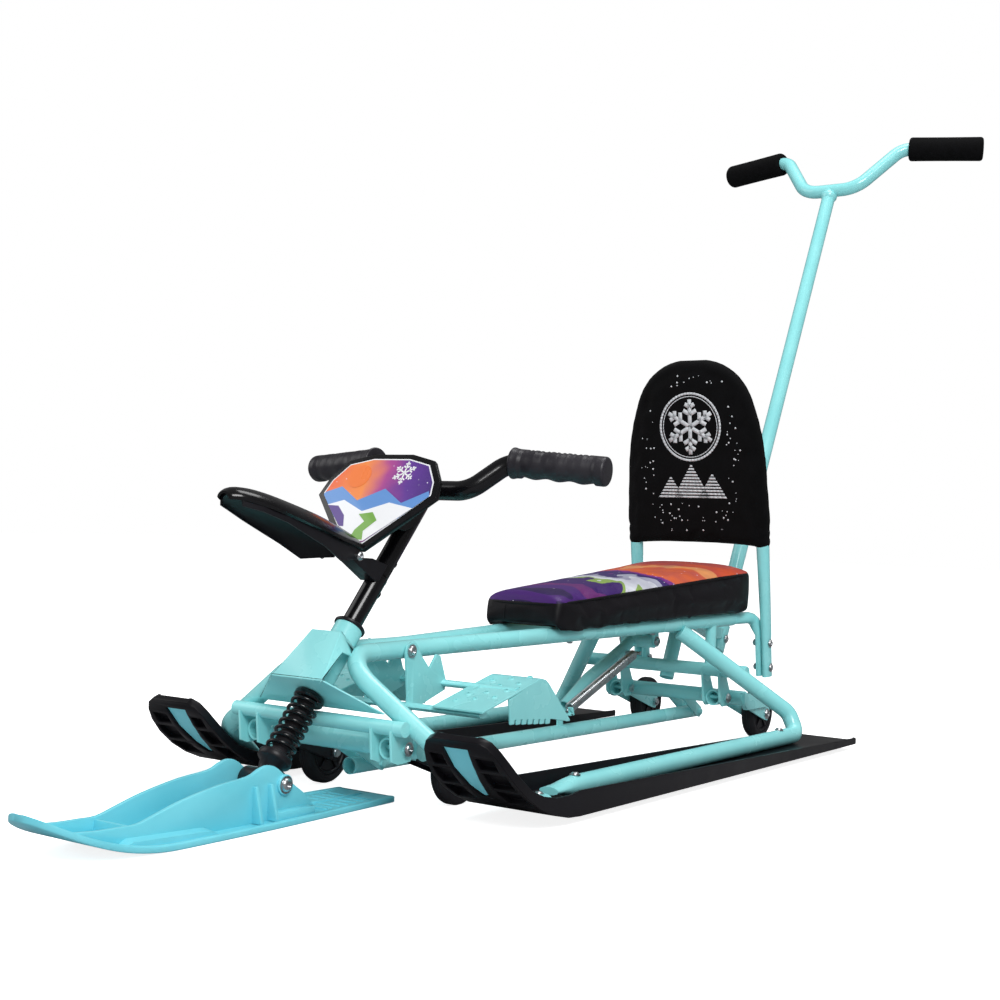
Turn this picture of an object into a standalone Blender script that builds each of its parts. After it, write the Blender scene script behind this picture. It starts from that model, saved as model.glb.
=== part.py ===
# Steering sled: a children's snow scooter with one steered ski in front, two fixed skis behind,
# four retractable wheels, a padded seat with a backrest, and a long pusher handle.
# The sled points along -Y, the rider's left is +X and the ground is z = 0. All sizes are in metres.
import math

import bmesh
import bpy
from mathutils import Matrix, Vector

# Clearance between touching solids, and between a turning part and its pin
GAP = 0.0003
CRUMB = 3e-8
PLAY = 0.0004
TURN_PLAY = 0.0005
# The measured datum lies this far in front of the middle of the sled's length
MIDDLE_Y = 0.0280
# Roundness
TUBE_SIDES = 12
FEW_SIDES = 8
BORE_SIDES = 16
BEND_STEP = math.radians(30)

# Ground and rear skis
SOLE_Z = 0.008
SKI_X = 0.1942
SKI_HALF = 0.0522
SKI_TAIL_Y = 0.3714
SKI_TURN_Y = -0.355
SKI_TURN_R = 0.170
SKI_TURN = math.radians(60)
SKI_FLOOR = 0.005
SKI_WALL = 0.004
SKI_RIM_FRONT = 0.026
SKI_RIM_TAIL = 0.0085
SKI_TIP_THICK = 0.010
SKI_POCKET = 0.0065
INSERT_THICK = 0.004

# Main frame tubes
RAIL_R = 0.010
RAIL_REAR = Vector((0.074, 0.315, 0.173))
RAIL_FRONT = Vector((0.0148, -0.330, 0.1585))
RAIL_NOSE = Vector((0.0225, -0.474, 0.1575))
LEG_KNEE = Vector((0.150, -0.457, 0.068))
FOOT_HALF = 0.005
RUNNER_R = 0.011
RUNNER_FRONT_Y = -0.335
RUNNER_HEEL = Vector((0.194, 0.283, 0.0))
RUNNER_RISE = Vector((0.180, 0.285, 0.052))
RUNNER_TOP = Vector((0.066, 0.178, 0.160))

# Steering axis: it leans back from the front ski's pivot
PIVOT = Vector((0.0, -0.556, 0.037))
RAKE = math.radians(40)
AXIS = Vector((0.0, math.sin(RAKE), math.cos(RAKE)))
FACE = Vector((0.0, -math.cos(RAKE), math.sin(RAKE)))
COLUMN_R = 0.011
BUSH_WALL = 0.0016
HEAD_WALL = 0.0022
HEAD_LOW = 0.1058
HEAD_HIGH = 0.190
FLANGE_R = 0.017
FLANGE_H = 0.004
COLLAR_R = 0.0165
COLLAR_LOW = 0.0961
COLLAR_HIGH = 0.1030
MASK_S = 0.1035
MASK_T = 0.002
SEAM_S = 0.2604
BAR_CENTRE = Vector((0.0, -0.312, 0.333))
BAR_R = 0.011

# Shock absorber between column and ski
SHOCK_TRAVEL = 0.014
SPRING_LOW = 0.0295
SPRING_R = 0.0140
SPRING_WIRE = 0.0020
SPRING_TURNS = 7
SHOCK_ROD_R = 0.0050
BELLOWS_R = 0.0102
BELLOWS_RIBS = 9

# Wheels and their two carriages
WHEEL_R = 0.036
WHEEL_W = 0.020
WHEEL_X = 0.0925
AXLE_R = 0.004
FRONT_PIVOT = Vector((0.0, -0.462, 0.0704))
REAR_PIVOT = Vector((0.0, 0.269, 0.0651))
FRONT_AXLE_Y = -0.360
REAR_AXLE_Y = 0.371
STUB_R = 0.011
STUB_BORE = 0.009
FRONT_STUB_X = 0.0907
REAR_STUB_X = 0.0783
FRONT_BEAM = Vector((0.0, -0.436, 0.0675))
REAR_BEAM = Vector((0.0, 0.297, 0.0635))
LINK_ARM = Vector((0.0, 0.077, -0.0334))
LINK_R = 0.009
LUG_T = 0.003
PIVOT_BOLT_R = 0.003
LEVER_PIVOT = Vector((0.0, 0.185, 0.143))

# Extension spring between the lever's pin and a small plate on the link tube
SPRING_PIN = LEVER_PIVOT + Vector((0.0156, -0.0300, -0.0155))
SPRING_PIN_R = 0.0022
SPRING_SEAT = Vector((0.0156, -0.0120, 0.0640))
EXT_DIR = (SPRING_PIN - SPRING_SEAT).normalized()
EXT_R = 0.0056
EXT_WIRE = 0.0014
EXT_TURNS = 16
EXT_STEPS = 8

# Seat, backrest and pusher
SEAT_FRONT_Y = -0.118
SEAT_REAR_Y = 0.334
SEAT_FRONT_HALF = 0.057
SEAT_REAR_HALF = 0.101
BACK_X = 0.106
BACK_LOW = Vector((BACK_X, 0.3725, 0.090))
BACK_LEAN = 0.128
BACK_TOP_Z = 0.533
BACK_TUBE_R = 0.0098
SLEEVE_LOW_Z = 0.276
SLEEVE_TOP_Z = 0.547
SLEEVE_HALF_DEPTH = 0.0145
PUSH_LOW = Vector((0.0, 0.4125, 0.1170))
PUSH_TOP = Vector((0.0, 0.788, 0.879))
PUSH_R = 0.011
SOCKET_WALL = 0.0026
GRIP_R = 0.020

# Foot brake
BRAKE_PIVOT = Vector((0.0, -0.364, 0.1575))
PLATE_T = 0.0025
PLATE_IN = 0.070
PLATE_OUT = 0.136


# Starting point: an empty scene
for old in list(bpy.data.objects):
    bpy.data.objects.remove(old, do_unlink=True)
COLLECTION = bpy.context.scene.collection
PIVOTS = {}


def colour(hex_code):
    """sRGB hex to linear RGBA"""
    channels = [int(hex_code[i:i + 2], 16) / 255 for i in (0, 2, 4)]
    linear = [c / 12.92 if c <= 0.04045 else ((c + 0.055) / 1.055) ** 2.4 for c in channels]
    return (*linear, 1.0)


def paint(name, hex_code, roughness, metallic=0.0):
    surface = bpy.data.materials.new(name)
    surface.use_nodes = True
    shader = surface.node_tree.nodes["Principled BSDF"]
    shader.inputs["Base Color"].default_value = colour(hex_code)
    shader.inputs["Roughness"].default_value = roughness
    shader.inputs["Metallic"].default_value = metallic
    return surface


MINT = paint("mint_powder_coat", "8FE0E6", 0.35)
SKY = paint("sky_blue_polyethylene", "74D2E6", 0.38)
BLACK_PLASTIC = paint("black_moulded_plastic", "1B1A1F", 0.42)
BLACK_GLOSS = paint("black_gloss_enamel", "0E0E10", 0.18)
RUBBER = paint("black_rubber", "1E1D22", 0.75)
FOAM = paint("black_foam", "131315", 0.9)
VINYL = paint("black_vinyl", "17151B", 0.5)
CLOTH = paint("black_cloth", "0E0E11", 0.85)
STEEL = paint("zinc_steel", "B4B6B8", 0.3, 1.0)
BOARD = paint("plywood_board", "8C6B45", 0.7)


# Mesh building

def skin(rings, closed=False):
    """solid through equal rings of points: capped at both ends, or closed back on itself"""
    bm = bmesh.new()
    loops = [[bm.verts.new(p) for p in ring] for ring in rings]
    pairs = list(zip(loops, loops[1:]))
    if closed:
        pairs.append((loops[-1], loops[0]))
    else:
        bm.faces.new(loops[0])
        bm.faces.new(loops[-1])
    for low, high in pairs:
        for k in range(len(low)):
            bm.faces.new((low[k], low[k - 1], high[k - 1], high[k]))
    bmesh.ops.recalc_face_normals(bm, faces=bm.faces)
    return bm


def fillet(corners, radii, step=BEND_STEP):
    """a line through corners with each inner corner rounded to its radius"""
    corners = [Vector(c) for c in corners]
    line = [corners[0]]
    for before, corner, after, radius in zip(corners, corners[1:], corners[2:], radii):
        back = (before - corner).normalized()
        ahead = (after - corner).normalized()
        half = back.angle(ahead) / 2
        if half > math.radians(88):
            line.append(corner)
            continue
        reach = min(radius / math.tan(half), 0.49 * (before - corner).length,
                    0.49 * (after - corner).length)
        bend_r = reach * math.tan(half)
        centre = corner + (back + ahead).normalized() * bend_r / math.sin(half)
        start = corner + back * reach - centre
        turn = math.pi - 2 * half
        axis = start.cross(corner + ahead * reach - centre).normalized()
        steps = max(1, math.ceil(turn / step))
        for k in range(steps + 1):
            line.append(centre + Matrix.Rotation(turn * k / steps, 3, axis) @ start)
    line.append(corners[-1])
    return line


def sweep(line, radius, sides=TUBE_SIDES, across=(1, 0, 0), flats=None, bores=(None, None)):
    """round bar along a line; flats gives some points their own half widths, bores open the ends"""
    line = [Vector(p) for p in line]
    flats = {k % len(line): v for k, v in (flats or {}).items()}
    runs = [(b - a).normalized() for a, b in zip(line, line[1:])]
    tangents = [runs[0]] + [(a + b).normalized() for a, b in zip(runs, runs[1:])] + [runs[-1]]
    side = Vector(across)
    rings = []
    for k, (point, tangent) in enumerate(zip(line, tangents)):
        side = (side - tangent * side.dot(tangent)).normalized()
        up = tangent.cross(side)
        wide, thick = flats.get(k, (radius, radius))
        rings.append([point + side * math.cos(a) * wide + up * math.sin(a) * thick
                      for a in (2 * math.pi * j / sides for j in range(sides))])
    for at, bore in enumerate(bores):
        if bore:
            ratio, depth = bore[0] / radius, bore[1]
            end = -1 if at else 0
            inward = -tangents[end] if at else tangents[end]
            lip = [line[end] + (p - line[end]) * ratio for p in rings[end]]
            floor = [p + inward * depth for p in lip]
            rings = rings + [lip, floor] if at else [floor, lip] + rings
    return skin(rings)


def lathe(profile, base, axis, sides=TUBE_SIDES, closed=False, across=(1, 0, 0)):
    """solid of revolution: profile is (radius, height along the axis) pairs"""
    base, axis = Vector(base), Vector(axis).normalized()
    side = Vector(across)
    side = (side - axis * side.dot(axis)).normalized()
    up = axis.cross(side)
    rings = [[base + axis * h + (side * math.cos(a) + up * math.sin(a)) * r
              for a in (2 * math.pi * j / sides for j in range(sides))] for r, h in profile]
    return skin(rings, closed)


def ring(inner, outer, low, high, base, axis, sides=TUBE_SIDES, across=(1, 0, 0)):
    """plain bush or washer"""
    return lathe([(inner, low), (outer, low), (outer, high), (inner, high)], base, axis, sides, True, across)


def prism(outline, thickness):
    """flat plate: a planar outline given a thickness vector"""
    low = [Vector(p) for p in outline]
    return skin([low, [p + Vector(thickness) for p in low]])


def slab(low, high, soften=0.0):
    """box between two corners, its edges rounded by soften"""
    bm = bmesh.new()
    bmesh.ops.create_cube(bm, size=1.0)
    size = Vector(high) - Vector(low)
    bmesh.ops.scale(bm, vec=size, verts=bm.verts)
    bmesh.ops.translate(bm, vec=(Vector(high) + Vector(low)) / 2, verts=bm.verts)
    if soften:
        bmesh.ops.bevel(bm, geom=bm.edges[:], offset=soften, segments=1, profile=0.5,
                        affect="EDGES", material=-1)
    return bm


def drop_slivers(bm):
    """remove loose crumbs that a cut leaves behind"""
    left = set(bm.verts)
    while left:
        found = {left.pop()}
        queue = list(found)
        while queue:
            vert = queue.pop()
            near = {edge.other_vert(vert) for edge in vert.link_edges} & left
            left -= near
            found |= near
            queue += near
        size = [max(v.co[i] for v in found) - min(v.co[i] for v in found) for i in range(3)]
        if size[0] * size[1] * size[2] < CRUMB:
            bmesh.ops.delete(bm, geom=list(found), context="VERTS")


def combine(body, tools, operation):
    """Boolean of body with each tool in turn"""
    for tool in tools:
        holders = []
        for bm in (body, tool):
            mesh = bpy.data.meshes.new("solid")
            bm.to_mesh(mesh)
            bm.free()
            holders.append(bpy.data.objects.new("solid", mesh))
            COLLECTION.objects.link(holders[-1])
        cut = holders[0].modifiers.new("cut", "BOOLEAN")
        cut.operation = operation
        cut.solver = "EXACT"
        cut.object = holders[1]
        graph = bpy.context.evaluated_depsgraph_get()
        result = bpy.data.meshes.new_from_object(holders[0].evaluated_get(graph))
        body = bmesh.new()
        body.from_mesh(result)
        bmesh.ops.dissolve_degenerate(body, dist=1e-6, edges=body.edges)
        drop_slivers(body)
        bpy.data.meshes.remove(result)
        for holder in holders:
            mesh = holder.data
            bpy.data.objects.remove(holder)
            bpy.data.meshes.remove(mesh)
    return body


def cut(body, *tools):
    return combine(body, tools, "DIFFERENCE")


def weld(body, *tools):
    return combine(body, tools, "UNION")


def flip(bm):
    """mirror image across the middle of the sled"""
    bmesh.ops.scale(bm, vec=(-1, 1, 1), verts=bm.verts)
    bmesh.ops.reverse_faces(bm, faces=bm.faces)
    return bm


def on_side(side, point):
    return Vector((side * point[0], point[1], point[2]))


def pivot(name, at, parent=None):
    """an empty on a joint's axis, which carries what turns about it"""
    empty = bpy.data.objects.new(name, None)
    COLLECTION.objects.link(empty)
    at = Vector(at) - Vector((0, MIDDLE_Y, 0))
    PIVOTS[name] = at
    if parent:
        empty.parent = bpy.data.objects[parent]
        empty.location = at - PIVOTS[parent]
    else:
        empty.location = at


def finish(name, bm, surface, carrier=None, crease=35):
    """turn a mesh into the named sub-part, hung from its joint's empty if it moves"""
    origin = PIVOTS[carrier] if carrier else Vector((0, 0, 0))
    bmesh.ops.translate(bm, vec=-origin - Vector((0, MIDDLE_Y, 0)), verts=bm.verts)
    mesh = bpy.data.meshes.new(name)
    bm.to_mesh(mesh)
    bm.free()
    mesh.shade_smooth()
    mesh.set_sharp_from_angle(angle=math.radians(crease))
    mesh.materials.append(surface)
    part = bpy.data.objects.new(name, mesh)
    COLLECTION.objects.link(part)
    if carrier:
        part.parent = bpy.data.objects[carrier]


def head(x, s, u=0.0):
    """a point by its distance s up the steering axis and u in front of it"""
    return PIVOT + Vector((x, 0, 0)) + AXIS * s + FACE * u


def bolt(start, direction, length, shank=PIVOT_BOLT_R, cap=0.0055, cap_h=0.0035, nut=True):
    """screw with a domed cap at start, its shank, and a nut at the far end"""
    profile = [(cap * 0.85, -cap_h), (cap, 0), (shank, 0), (shank, length)]
    if nut:
        profile += [(cap, length), (cap, length + cap_h)]
    return lathe(profile, start, direction, 6, across=(0.1, 0.9, 0.3))


def hole(start, direction, length, radius=PIVOT_BOLT_R):
    """cutter for a bolt's clearance hole"""
    return lathe([(radius + GAP, 0), (radius + GAP, length)], start, direction, 6, across=(0.1, 0.9, 0.3))


# Joint axes
pivot("steering_axis", PIVOT + AXIS * HEAD_LOW)
pivot("shock_axis", PIVOT + AXIS * SPRING_LOW, "steering_axis")
pivot("ski_axis", PIVOT, "shock_axis")
pivot("brake_axis", BRAKE_PIVOT)
pivot("front_carriage_axis", FRONT_PIVOT)
pivot("rear_carriage_axis", REAR_PIVOT)
pivot("link_axis", FRONT_PIVOT + LINK_ARM, "front_carriage_axis")
pivot("lever_axis", LEVER_PIVOT)
WHEELS = {
    "front_left": (1, FRONT_AXLE_Y, "front_carriage_axis"),
    "front_right": (-1, FRONT_AXLE_Y, "front_carriage_axis"),
    "rear_left": (1, REAR_AXLE_Y, "rear_carriage_axis"),
    "rear_right": (-1, REAR_AXLE_Y, "rear_carriage_axis"),
}
for wheel, (side, axle_y, carrier) in WHEELS.items():
    pivot(wheel + "_axle", (side * WHEEL_X, axle_y, WHEEL_R), carrier)


# Main frame tubes: each side tube is rail, front bend, leg and a flattened foot on the ski

DECK_Z = SOLE_Z + SKI_FLOOR
FOOT_Z = DECK_Z + GAP + FOOT_HALF
FOOT_END = Vector((0.1935, -0.3440, FOOT_Z))
FOOT_HEEL = Vector((0.1885, -0.3730, FOOT_Z + 0.0035))


def side_tube_line(side):
    corners = [FOOT_END, FOOT_HEEL, LEG_KNEE, RAIL_NOSE, RAIL_FRONT, RAIL_REAR]
    return [on_side(side, p) for p in fillet(corners, (0.02, 0.035, 0.046, 0.30))]


def side_tube(side, radius=RAIL_R):
    grow = radius - RAIL_R
    feet = {k: (wide, FOOT_HALF + more + grow) for k, (wide, more) in enumerate(
        ((0.0125, 0.0), (0.0120, 0.0004), (0.0115, 0.0012), (0.0110, 0.0028)))}
    return sweep(side_tube_line(side), radius, across=(0.9, -0.3, 0), flats=feet)


def runner_line(side):
    base_z = DECK_Z + GAP + RUNNER_R
    heel = RUNNER_HEEL + Vector((0, 0, base_z))
    corners = [(SKI_X, RUNNER_FRONT_Y, base_z), (SKI_X, RUNNER_FRONT_Y + 0.022, base_z), heel,
               RUNNER_RISE, RUNNER_TOP]
    return [on_side(side, p) for p in fillet(corners, (0.001, 0.020, 0.020))]


def runner(side, radius=RUNNER_R):
    bores = ((0.0080, 0.012), None) if radius == RUNNER_R else (None, None)
    return sweep(runner_line(side), radius, across=(1, 0, 0), bores=bores)


def head_tube_cutter():
    outer = COLUMN_R + TURN_PLAY + BUSH_WALL + GAP + HEAD_WALL + GAP
    return lathe([(outer, HEAD_LOW - 0.01), (outer, HEAD_HIGH + 0.01)], PIVOT, AXIS, BORE_SIDES)


brake_hole = hole(BRAKE_PIVOT + Vector((-0.05, 0, 0)), (1, 0, 0), 0.10)
for side, mark in ((1, "left"), (-1, "right")):
    tube = side_tube(side)
    tube = cut(tube, head_tube_cutter(), brake_hole.copy())
    finish("side_tube_" + mark, tube, MINT)
    tube = cut(runner(side), side_tube(side, RAIL_R + GAP))
    finish("runner_tube_" + mark, tube, MINT)


# Steering head: tube, plastic bush, and the folded sheet mask welded in front of it

BUSH_IN = COLUMN_R + TURN_PLAY
BUSH_OUT = BUSH_IN + BUSH_WALL
HEAD_IN = BUSH_OUT + GAP
HEAD_OUT = HEAD_IN + HEAD_WALL
finish("steering_head", ring(HEAD_IN, HEAD_OUT, HEAD_LOW, HEAD_HIGH, PIVOT, AXIS, BORE_SIDES), MINT)
bush = [(BUSH_IN, HEAD_LOW), (BUSH_OUT, HEAD_LOW), (BUSH_OUT, HEAD_HIGH + GAP),
        (FLANGE_R, HEAD_HIGH + GAP), (FLANGE_R, HEAD_HIGH + FLANGE_H), (BUSH_IN, HEAD_HIGH + FLANGE_H)]
finish("steering_bush", lathe(bush, PIVOT, AXIS, BORE_SIDES, True), BLACK_PLASTIC)


def mask():
    """front panel, lower panel square to the axis, and a cheek to each side tube"""
    front = prism([head(-0.0198, 0.1674, 0.0268), head(0.0198, 0.1674, 0.0268),
                   head(0.0343, MASK_S, 0.0300), head(-0.0343, MASK_S, 0.0300)], -FACE * MASK_T)
    lower = prism([head(-0.0343, MASK_S, 0.0300), head(0.0343, MASK_S, 0.0300),
                   head(0.0860, MASK_S, -0.0200), head(0.0300, MASK_S, -0.0200),
                   head(-0.0300, MASK_S, -0.0200), head(-0.0860, MASK_S, -0.0200)], AXIS * MASK_T)
    cheeks = []
    for side in (1, -1):
        outline = [head(side * 0.0198, 0.1674, 0.0268), head(side * 0.0343, MASK_S, 0.0300),
                   head(side * 0.0300, 0.1460, 0.0200), head(side * 0.0262, 0.1528, 0.0040),
                   head(side * 0.0245, 0.1650, 0.0020)]
        cheeks.append(skin([[p + Vector((side * x, 0, 0)) for p in outline] for x in (-0.0018, 0.0002)]))
    return weld(front, lower, *cheeks)


hanger_clear = [side_tube(side, RAIL_R + GAP) for side in (1, -1)]
column_clear = lathe([(COLUMN_R + 0.0015, 0.09), (COLUMN_R + 0.0015, 0.12)], PIVOT, AXIS, 16)
finish("head_mask", cut(mask(), *hanger_clear, column_clear), MINT)


# Hangers: a cross tube with two pairs of lugs, in which a wheel carriage's stubs swing

def lug_pair(side, stub_x, outline):
    plates = []
    for inner in (stub_x - STUB_R - GAP - LUG_T, stub_x + STUB_R + GAP):
        points = [(side * inner, y, z) for y, z in outline]
        plates.append(prism(points, (side * LUG_T, 0, 0)))
    return plates


def hanger(cross, radius, half, stub_x, outline, bores):
    bar = sweep([cross - Vector((half, 0, 0)), cross + Vector((half, 0, 0))], radius, FEW_SIDES, (0, 0, 1),
                bores=bores)
    lugs = [lug for side in (1, -1) for lug in lug_pair(side, stub_x, outline)]
    return weld(bar, *lugs)


def riveted_pin(middle, half):
    """pin set fast in the plates on both sides of middle, headed outside them"""
    start = Vector(middle) + Vector((half - 0.0005, 0, 0))
    return bolt(start, (-1, 0, 0), 2 * half - 0.001)


PIN_HALF = STUB_R + GAP + LUG_T
FRONT_CROSS = Vector((0, -0.478, 0.092))
FRONT_CROSS_R = 0.0075
front_lug = [(-0.487, 0.0900), (-0.4835, 0.0590), (-0.4740, 0.0555), (-0.4540, 0.0570), (-0.4510, 0.0660),
             (-0.4510, 0.0780), (-0.4680, 0.0950)]
clear_legs = [side_tube(side, RAIL_R + GAP) for side in (1, -1)]
pins = [riveted_pin(FRONT_PIVOT + Vector((side * FRONT_STUB_X, 0, 0)), PIN_HALF) for side in (1, -1)]
front_hanger = hanger(FRONT_CROSS, FRONT_CROSS_R, 0.1160, FRONT_STUB_X, front_lug, (None, None))
finish("front_hanger", weld(cut(front_hanger, *clear_legs), *pins), MINT)

REAR_CROSS = Vector((0, 0.256, 0.1040))
REAR_CROSS_R = 0.0090
rear_lug = [(0.2460, 0.1020), (0.2520, 0.0600), (0.2600, 0.0535), (0.2740, 0.0535), (0.2810, 0.0600),
            (0.2810, 0.0740), (0.2660, 0.1020)]
POST_X = 0.060


def rail_height(y):
    """height of the rails' centre line at y"""
    share = (y - RAIL_FRONT.y) / (RAIL_REAR.y - RAIL_FRONT.y)
    return RAIL_FRONT.z + share * (RAIL_REAR.z - RAIL_FRONT.z)


def rail_x(y):
    share = (y - RAIL_FRONT.y) / (RAIL_REAR.y - RAIL_FRONT.y)
    return RAIL_FRONT.x + share * (RAIL_REAR.x - RAIL_FRONT.x)


POST_Y = 0.263
POST_R = 0.0075
posts = [sweep([(side * rail_x(POST_Y), POST_Y, REAR_CROSS.z), (side * rail_x(POST_Y), POST_Y, 0.175)],
               POST_R, FEW_SIDES) for side in (1, -1)]
CENTRE_POST_R = 0.0100
PLATE_LOW = 0.1690
centre_post = sweep([(0, 0.2640, 0.0860), (0, 0.3010, 0.1760)], CENTRE_POST_R,
                    bores=((0.0082, 0.02), None))
rear_hanger = hanger(REAR_CROSS, REAR_CROSS_R, 0.1300, REAR_STUB_X, rear_lug, (None, None))
rear_hanger = weld(rear_hanger, *posts, centre_post)
clear_frame = [side_tube(side, RAIL_R + GAP) for side in (1, -1)]
clear_frame += [runner(side, RUNNER_R + GAP) for side in (1, -1)]
pins = [riveted_pin(REAR_PIVOT + Vector((side * REAR_STUB_X, 0, 0)), PIN_HALF) for side in (1, -1)]
above_plate = slab((-0.02, 0.27, PLATE_LOW - GAP), (0.02, 0.33, 0.19))
finish("rear_hanger", weld(cut(rear_hanger, *clear_frame, above_plate), *pins), MINT)


# Pusher socket: a clamp tube on a plate between the rails' rear ends

PUSH_AXIS = (PUSH_TOP - PUSH_LOW).normalized()
SOCKET_IN = PUSH_R + GAP
SOCKET_OUT = SOCKET_IN + SOCKET_WALL
SOCKET_H = 0.042
socket = lathe([(SOCKET_OUT, 0), (SOCKET_OUT, SOCKET_H)], PUSH_LOW, PUSH_AXIS, 16)
saddle = prism([(-0.067, 0.2880, PLATE_LOW), (0.067, 0.2880, PLATE_LOW), (0.068, 0.3120, PLATE_LOW),
                (0.020, 0.3340, PLATE_LOW), (-0.020, 0.3340, PLATE_LOW), (-0.068, 0.3120, PLATE_LOW)], (0, 0, 0.003))
tongue = [(0.3200, PLATE_LOW + 0.001), (0.3300, PLATE_LOW + 0.002), (0.4280, 0.1480), (0.4280, 0.1380),
          (0.4000, 0.1360), (0.3300, 0.1600)]
web = prism([(-0.0110, y, z) for y, z in tongue], (0.022, 0, 0))
bore = lathe([(SOCKET_IN, -0.01), (SOCKET_IN, SOCKET_H + 0.06)], PUSH_LOW, PUSH_AXIS, 16)
clear_rails = [side_tube(side, RAIL_R + GAP) for side in (1, -1)]
socket = cut(weld(socket, saddle, web), bore, *clear_rails)
finish("pusher_socket", socket, MINT)


# Rail end elbows and the backrest tube bolted outside them

def back_y(z):
    """the backrest leans forward a little as it rises"""
    return BACK_LOW.y - BACK_LEAN * (z - BACK_LOW.z)


BACK_FLAT = 0.0060
ELBOW_FLAT = 0.0050
ELBOW_R = 0.0085
ELBOW_X = BACK_X - BACK_FLAT - GAP - ELBOW_FLAT
for side, mark in ((1, "left"), (-1, "right")):
    rail_dir = (RAIL_REAR - RAIL_FRONT).normalized()
    start = RAIL_REAR + rail_dir * GAP
    top_z = RAIL_REAR.z + 0.0015
    corners = [(ELBOW_X, back_y(0.092), 0.0905), (ELBOW_X, back_y(0.128), 0.128),
               (ELBOW_X, back_y(0.150), 0.150), (ELBOW_X - 0.008, back_y(top_z), top_z), start]
    line = [on_side(side, p) for p in fillet(corners, (0.001, 0.001, 0.042))]
    flat = (ELBOW_R * 1.08, ELBOW_FLAT)
    elbow = sweep(line, ELBOW_R, across=(0, 1, 0), flats={0: flat, 1: flat, 2: flat, 3: flat},
                  bores=((0.0045, 0.01), None))
    clear_tube = sweep([on_side(side, RAIL_REAR - rail_dir * 0.03), on_side(side, RAIL_REAR + rail_dir * GAP)],
                       RAIL_R + 0.002)
    finish("rail_elbow_" + mark, cut(elbow, clear_tube), MINT)


def back_line():
    corners = [(BACK_X, BACK_LOW.z), (BACK_X, 0.150), (0.1035, 0.320), (0.0960, 0.440), (0.062, BACK_TOP_Z)]
    rise = [Vector((x, back_y(z), z)) for x, z in corners]
    top = [on_side(-1, p) for p in reversed(rise)]
    return fillet(rise + top, (0.001, 0.40, 0.30, 0.075, 0.075, 0.30, 0.40, 0.001))


def back_tube(radius=BACK_TUBE_R):
    grow = radius - BACK_TUBE_R
    flat = (0.0108 + grow, BACK_FLAT + grow)
    bores = ((0.0055, 0.01), (0.0055, 0.01)) if grow == 0 else (None, None)
    ends = {0: flat, 1: flat, -1: flat, -2: flat}
    return sweep(back_line(), radius, FEW_SIDES, (0, 1, 0), ends, bores)


finish("backrest_tube", back_tube(), MINT)


def sleeve():
    """padded cloth sleeve: rounded outline, fuller in the middle than at its edge"""
    half = [(0.1150, SLEEVE_LOW_Z), (0.1135, 0.350), (0.1090, 0.415), (0.0985, 0.468), (0.0820, 0.505),
            (0.0570, 0.532), (0.0210, SLEEVE_TOP_Z)]
    outline = half + [(-x, z) for x, z in reversed(half)]
    centre = Vector((0, 0, 0.400))
    rings = []
    for shrink, depth in ((0.93, -1.0), (0.985, -0.72), (1.0, 0.0), (0.985, 0.72), (0.93, 1.0)):
        points = []
        for x, z in outline:
            flat_z = centre.z + (z - centre.z) * shrink if z > centre.z else z
            points.append(Vector((x * shrink, back_y(flat_z) + depth * SLEEVE_HALF_DEPTH, flat_z)))
        rings.append(points)
    return skin(rings)


finish("backrest_sleeve", cut(sleeve(), back_tube(BACK_TUBE_R + GAP)), CLOTH, crease=50)


# Seat: a thin board on the rails under a wedge-shaped cushion

RAIL_TILT = (RAIL_REAR.z - RAIL_FRONT.z) / (RAIL_REAR.y - RAIL_FRONT.y)


def seat_floor(y):
    return rail_height(y) + RAIL_R * math.sqrt(1 + RAIL_TILT ** 2) + GAP


def seat_top(y):
    share = (y - SEAT_FRONT_Y) / (SEAT_REAR_Y - SEAT_FRONT_Y)
    return 0.2090 + share * 0.0370


def seat_half(y):
    share = (y - SEAT_FRONT_Y) / (SEAT_REAR_Y - SEAT_FRONT_Y)
    return SEAT_FRONT_HALF + share * (SEAT_REAR_HALF - SEAT_FRONT_HALF)


BOARD_T = 0.006


def seat_board(grow=0.0):
    front, rear, inset = SEAT_FRONT_Y + 0.022, SEAT_REAR_Y - 0.018, 0.018
    plan = [(1, front), (1, rear), (-1, rear), (-1, front)]
    low = [Vector((side * (seat_half(y) - inset + grow), y + grow * (1 if y == rear else -1),
                   seat_floor(y) - 2 * grow)) for side, y in plan]
    return prism(low, (0, 0, BOARD_T + 3 * grow))


def cushion():
    """crowned top, drawn-in sides and soft corners, flat underneath"""
    stations = 7
    arc = 8
    rings = []
    ends = [(0.0, 0.90), (0.012, 0.97), (0.035, 1.0)]
    shares = [s for s, _ in ends] + [0.035 + 0.93 * k / stations for k in range(1, stations)]
    shares += [1 - s for s, _ in reversed(ends)]
    for share in shares:
        edge = min(share, 1 - share)
        squeeze = 0.90 + 0.10 * min(1.0, edge / 0.035) ** 0.5
        y = SEAT_FRONT_Y + share * (SEAT_REAR_Y - SEAT_FRONT_Y)
        half = seat_half(y) * squeeze
        low, high = seat_floor(y), seat_top(y)
        tall = high - low
        drop = tall * (1 - squeeze) * 1.2
        crown = 0.004 * math.sin(math.pi * share)
        side_points = [(0.90, 0.0), (0.985, 0.10), (0.975, 0.45), (1.0, 0.84), (0.955, 0.97)]
        profile = [(half * w, low + drop * 0.3 + tall * h - drop * h) for w, h in side_points]
        for k in range(1, arc // 2):
            w = 0.955 * (1 - 2 * k / arc)
            profile.append((half * w, high - drop + crown * (1 - w * w)))
        profile.append((0.0, high - drop + crown))
        ring_points = profile + [(-x, z) for x, z in reversed(profile[:-1])]
        rings.append([Vector((x, y, z)) for x, z in ring_points])
    return skin(rings)


finish("seat_board", seat_board(), BOARD)
finish("seat_cushion", cut(cushion(), seat_board(GAP)), VINYL, crease=50)


# Pusher: a long rod, bent handle bar and two foam grips

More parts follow.
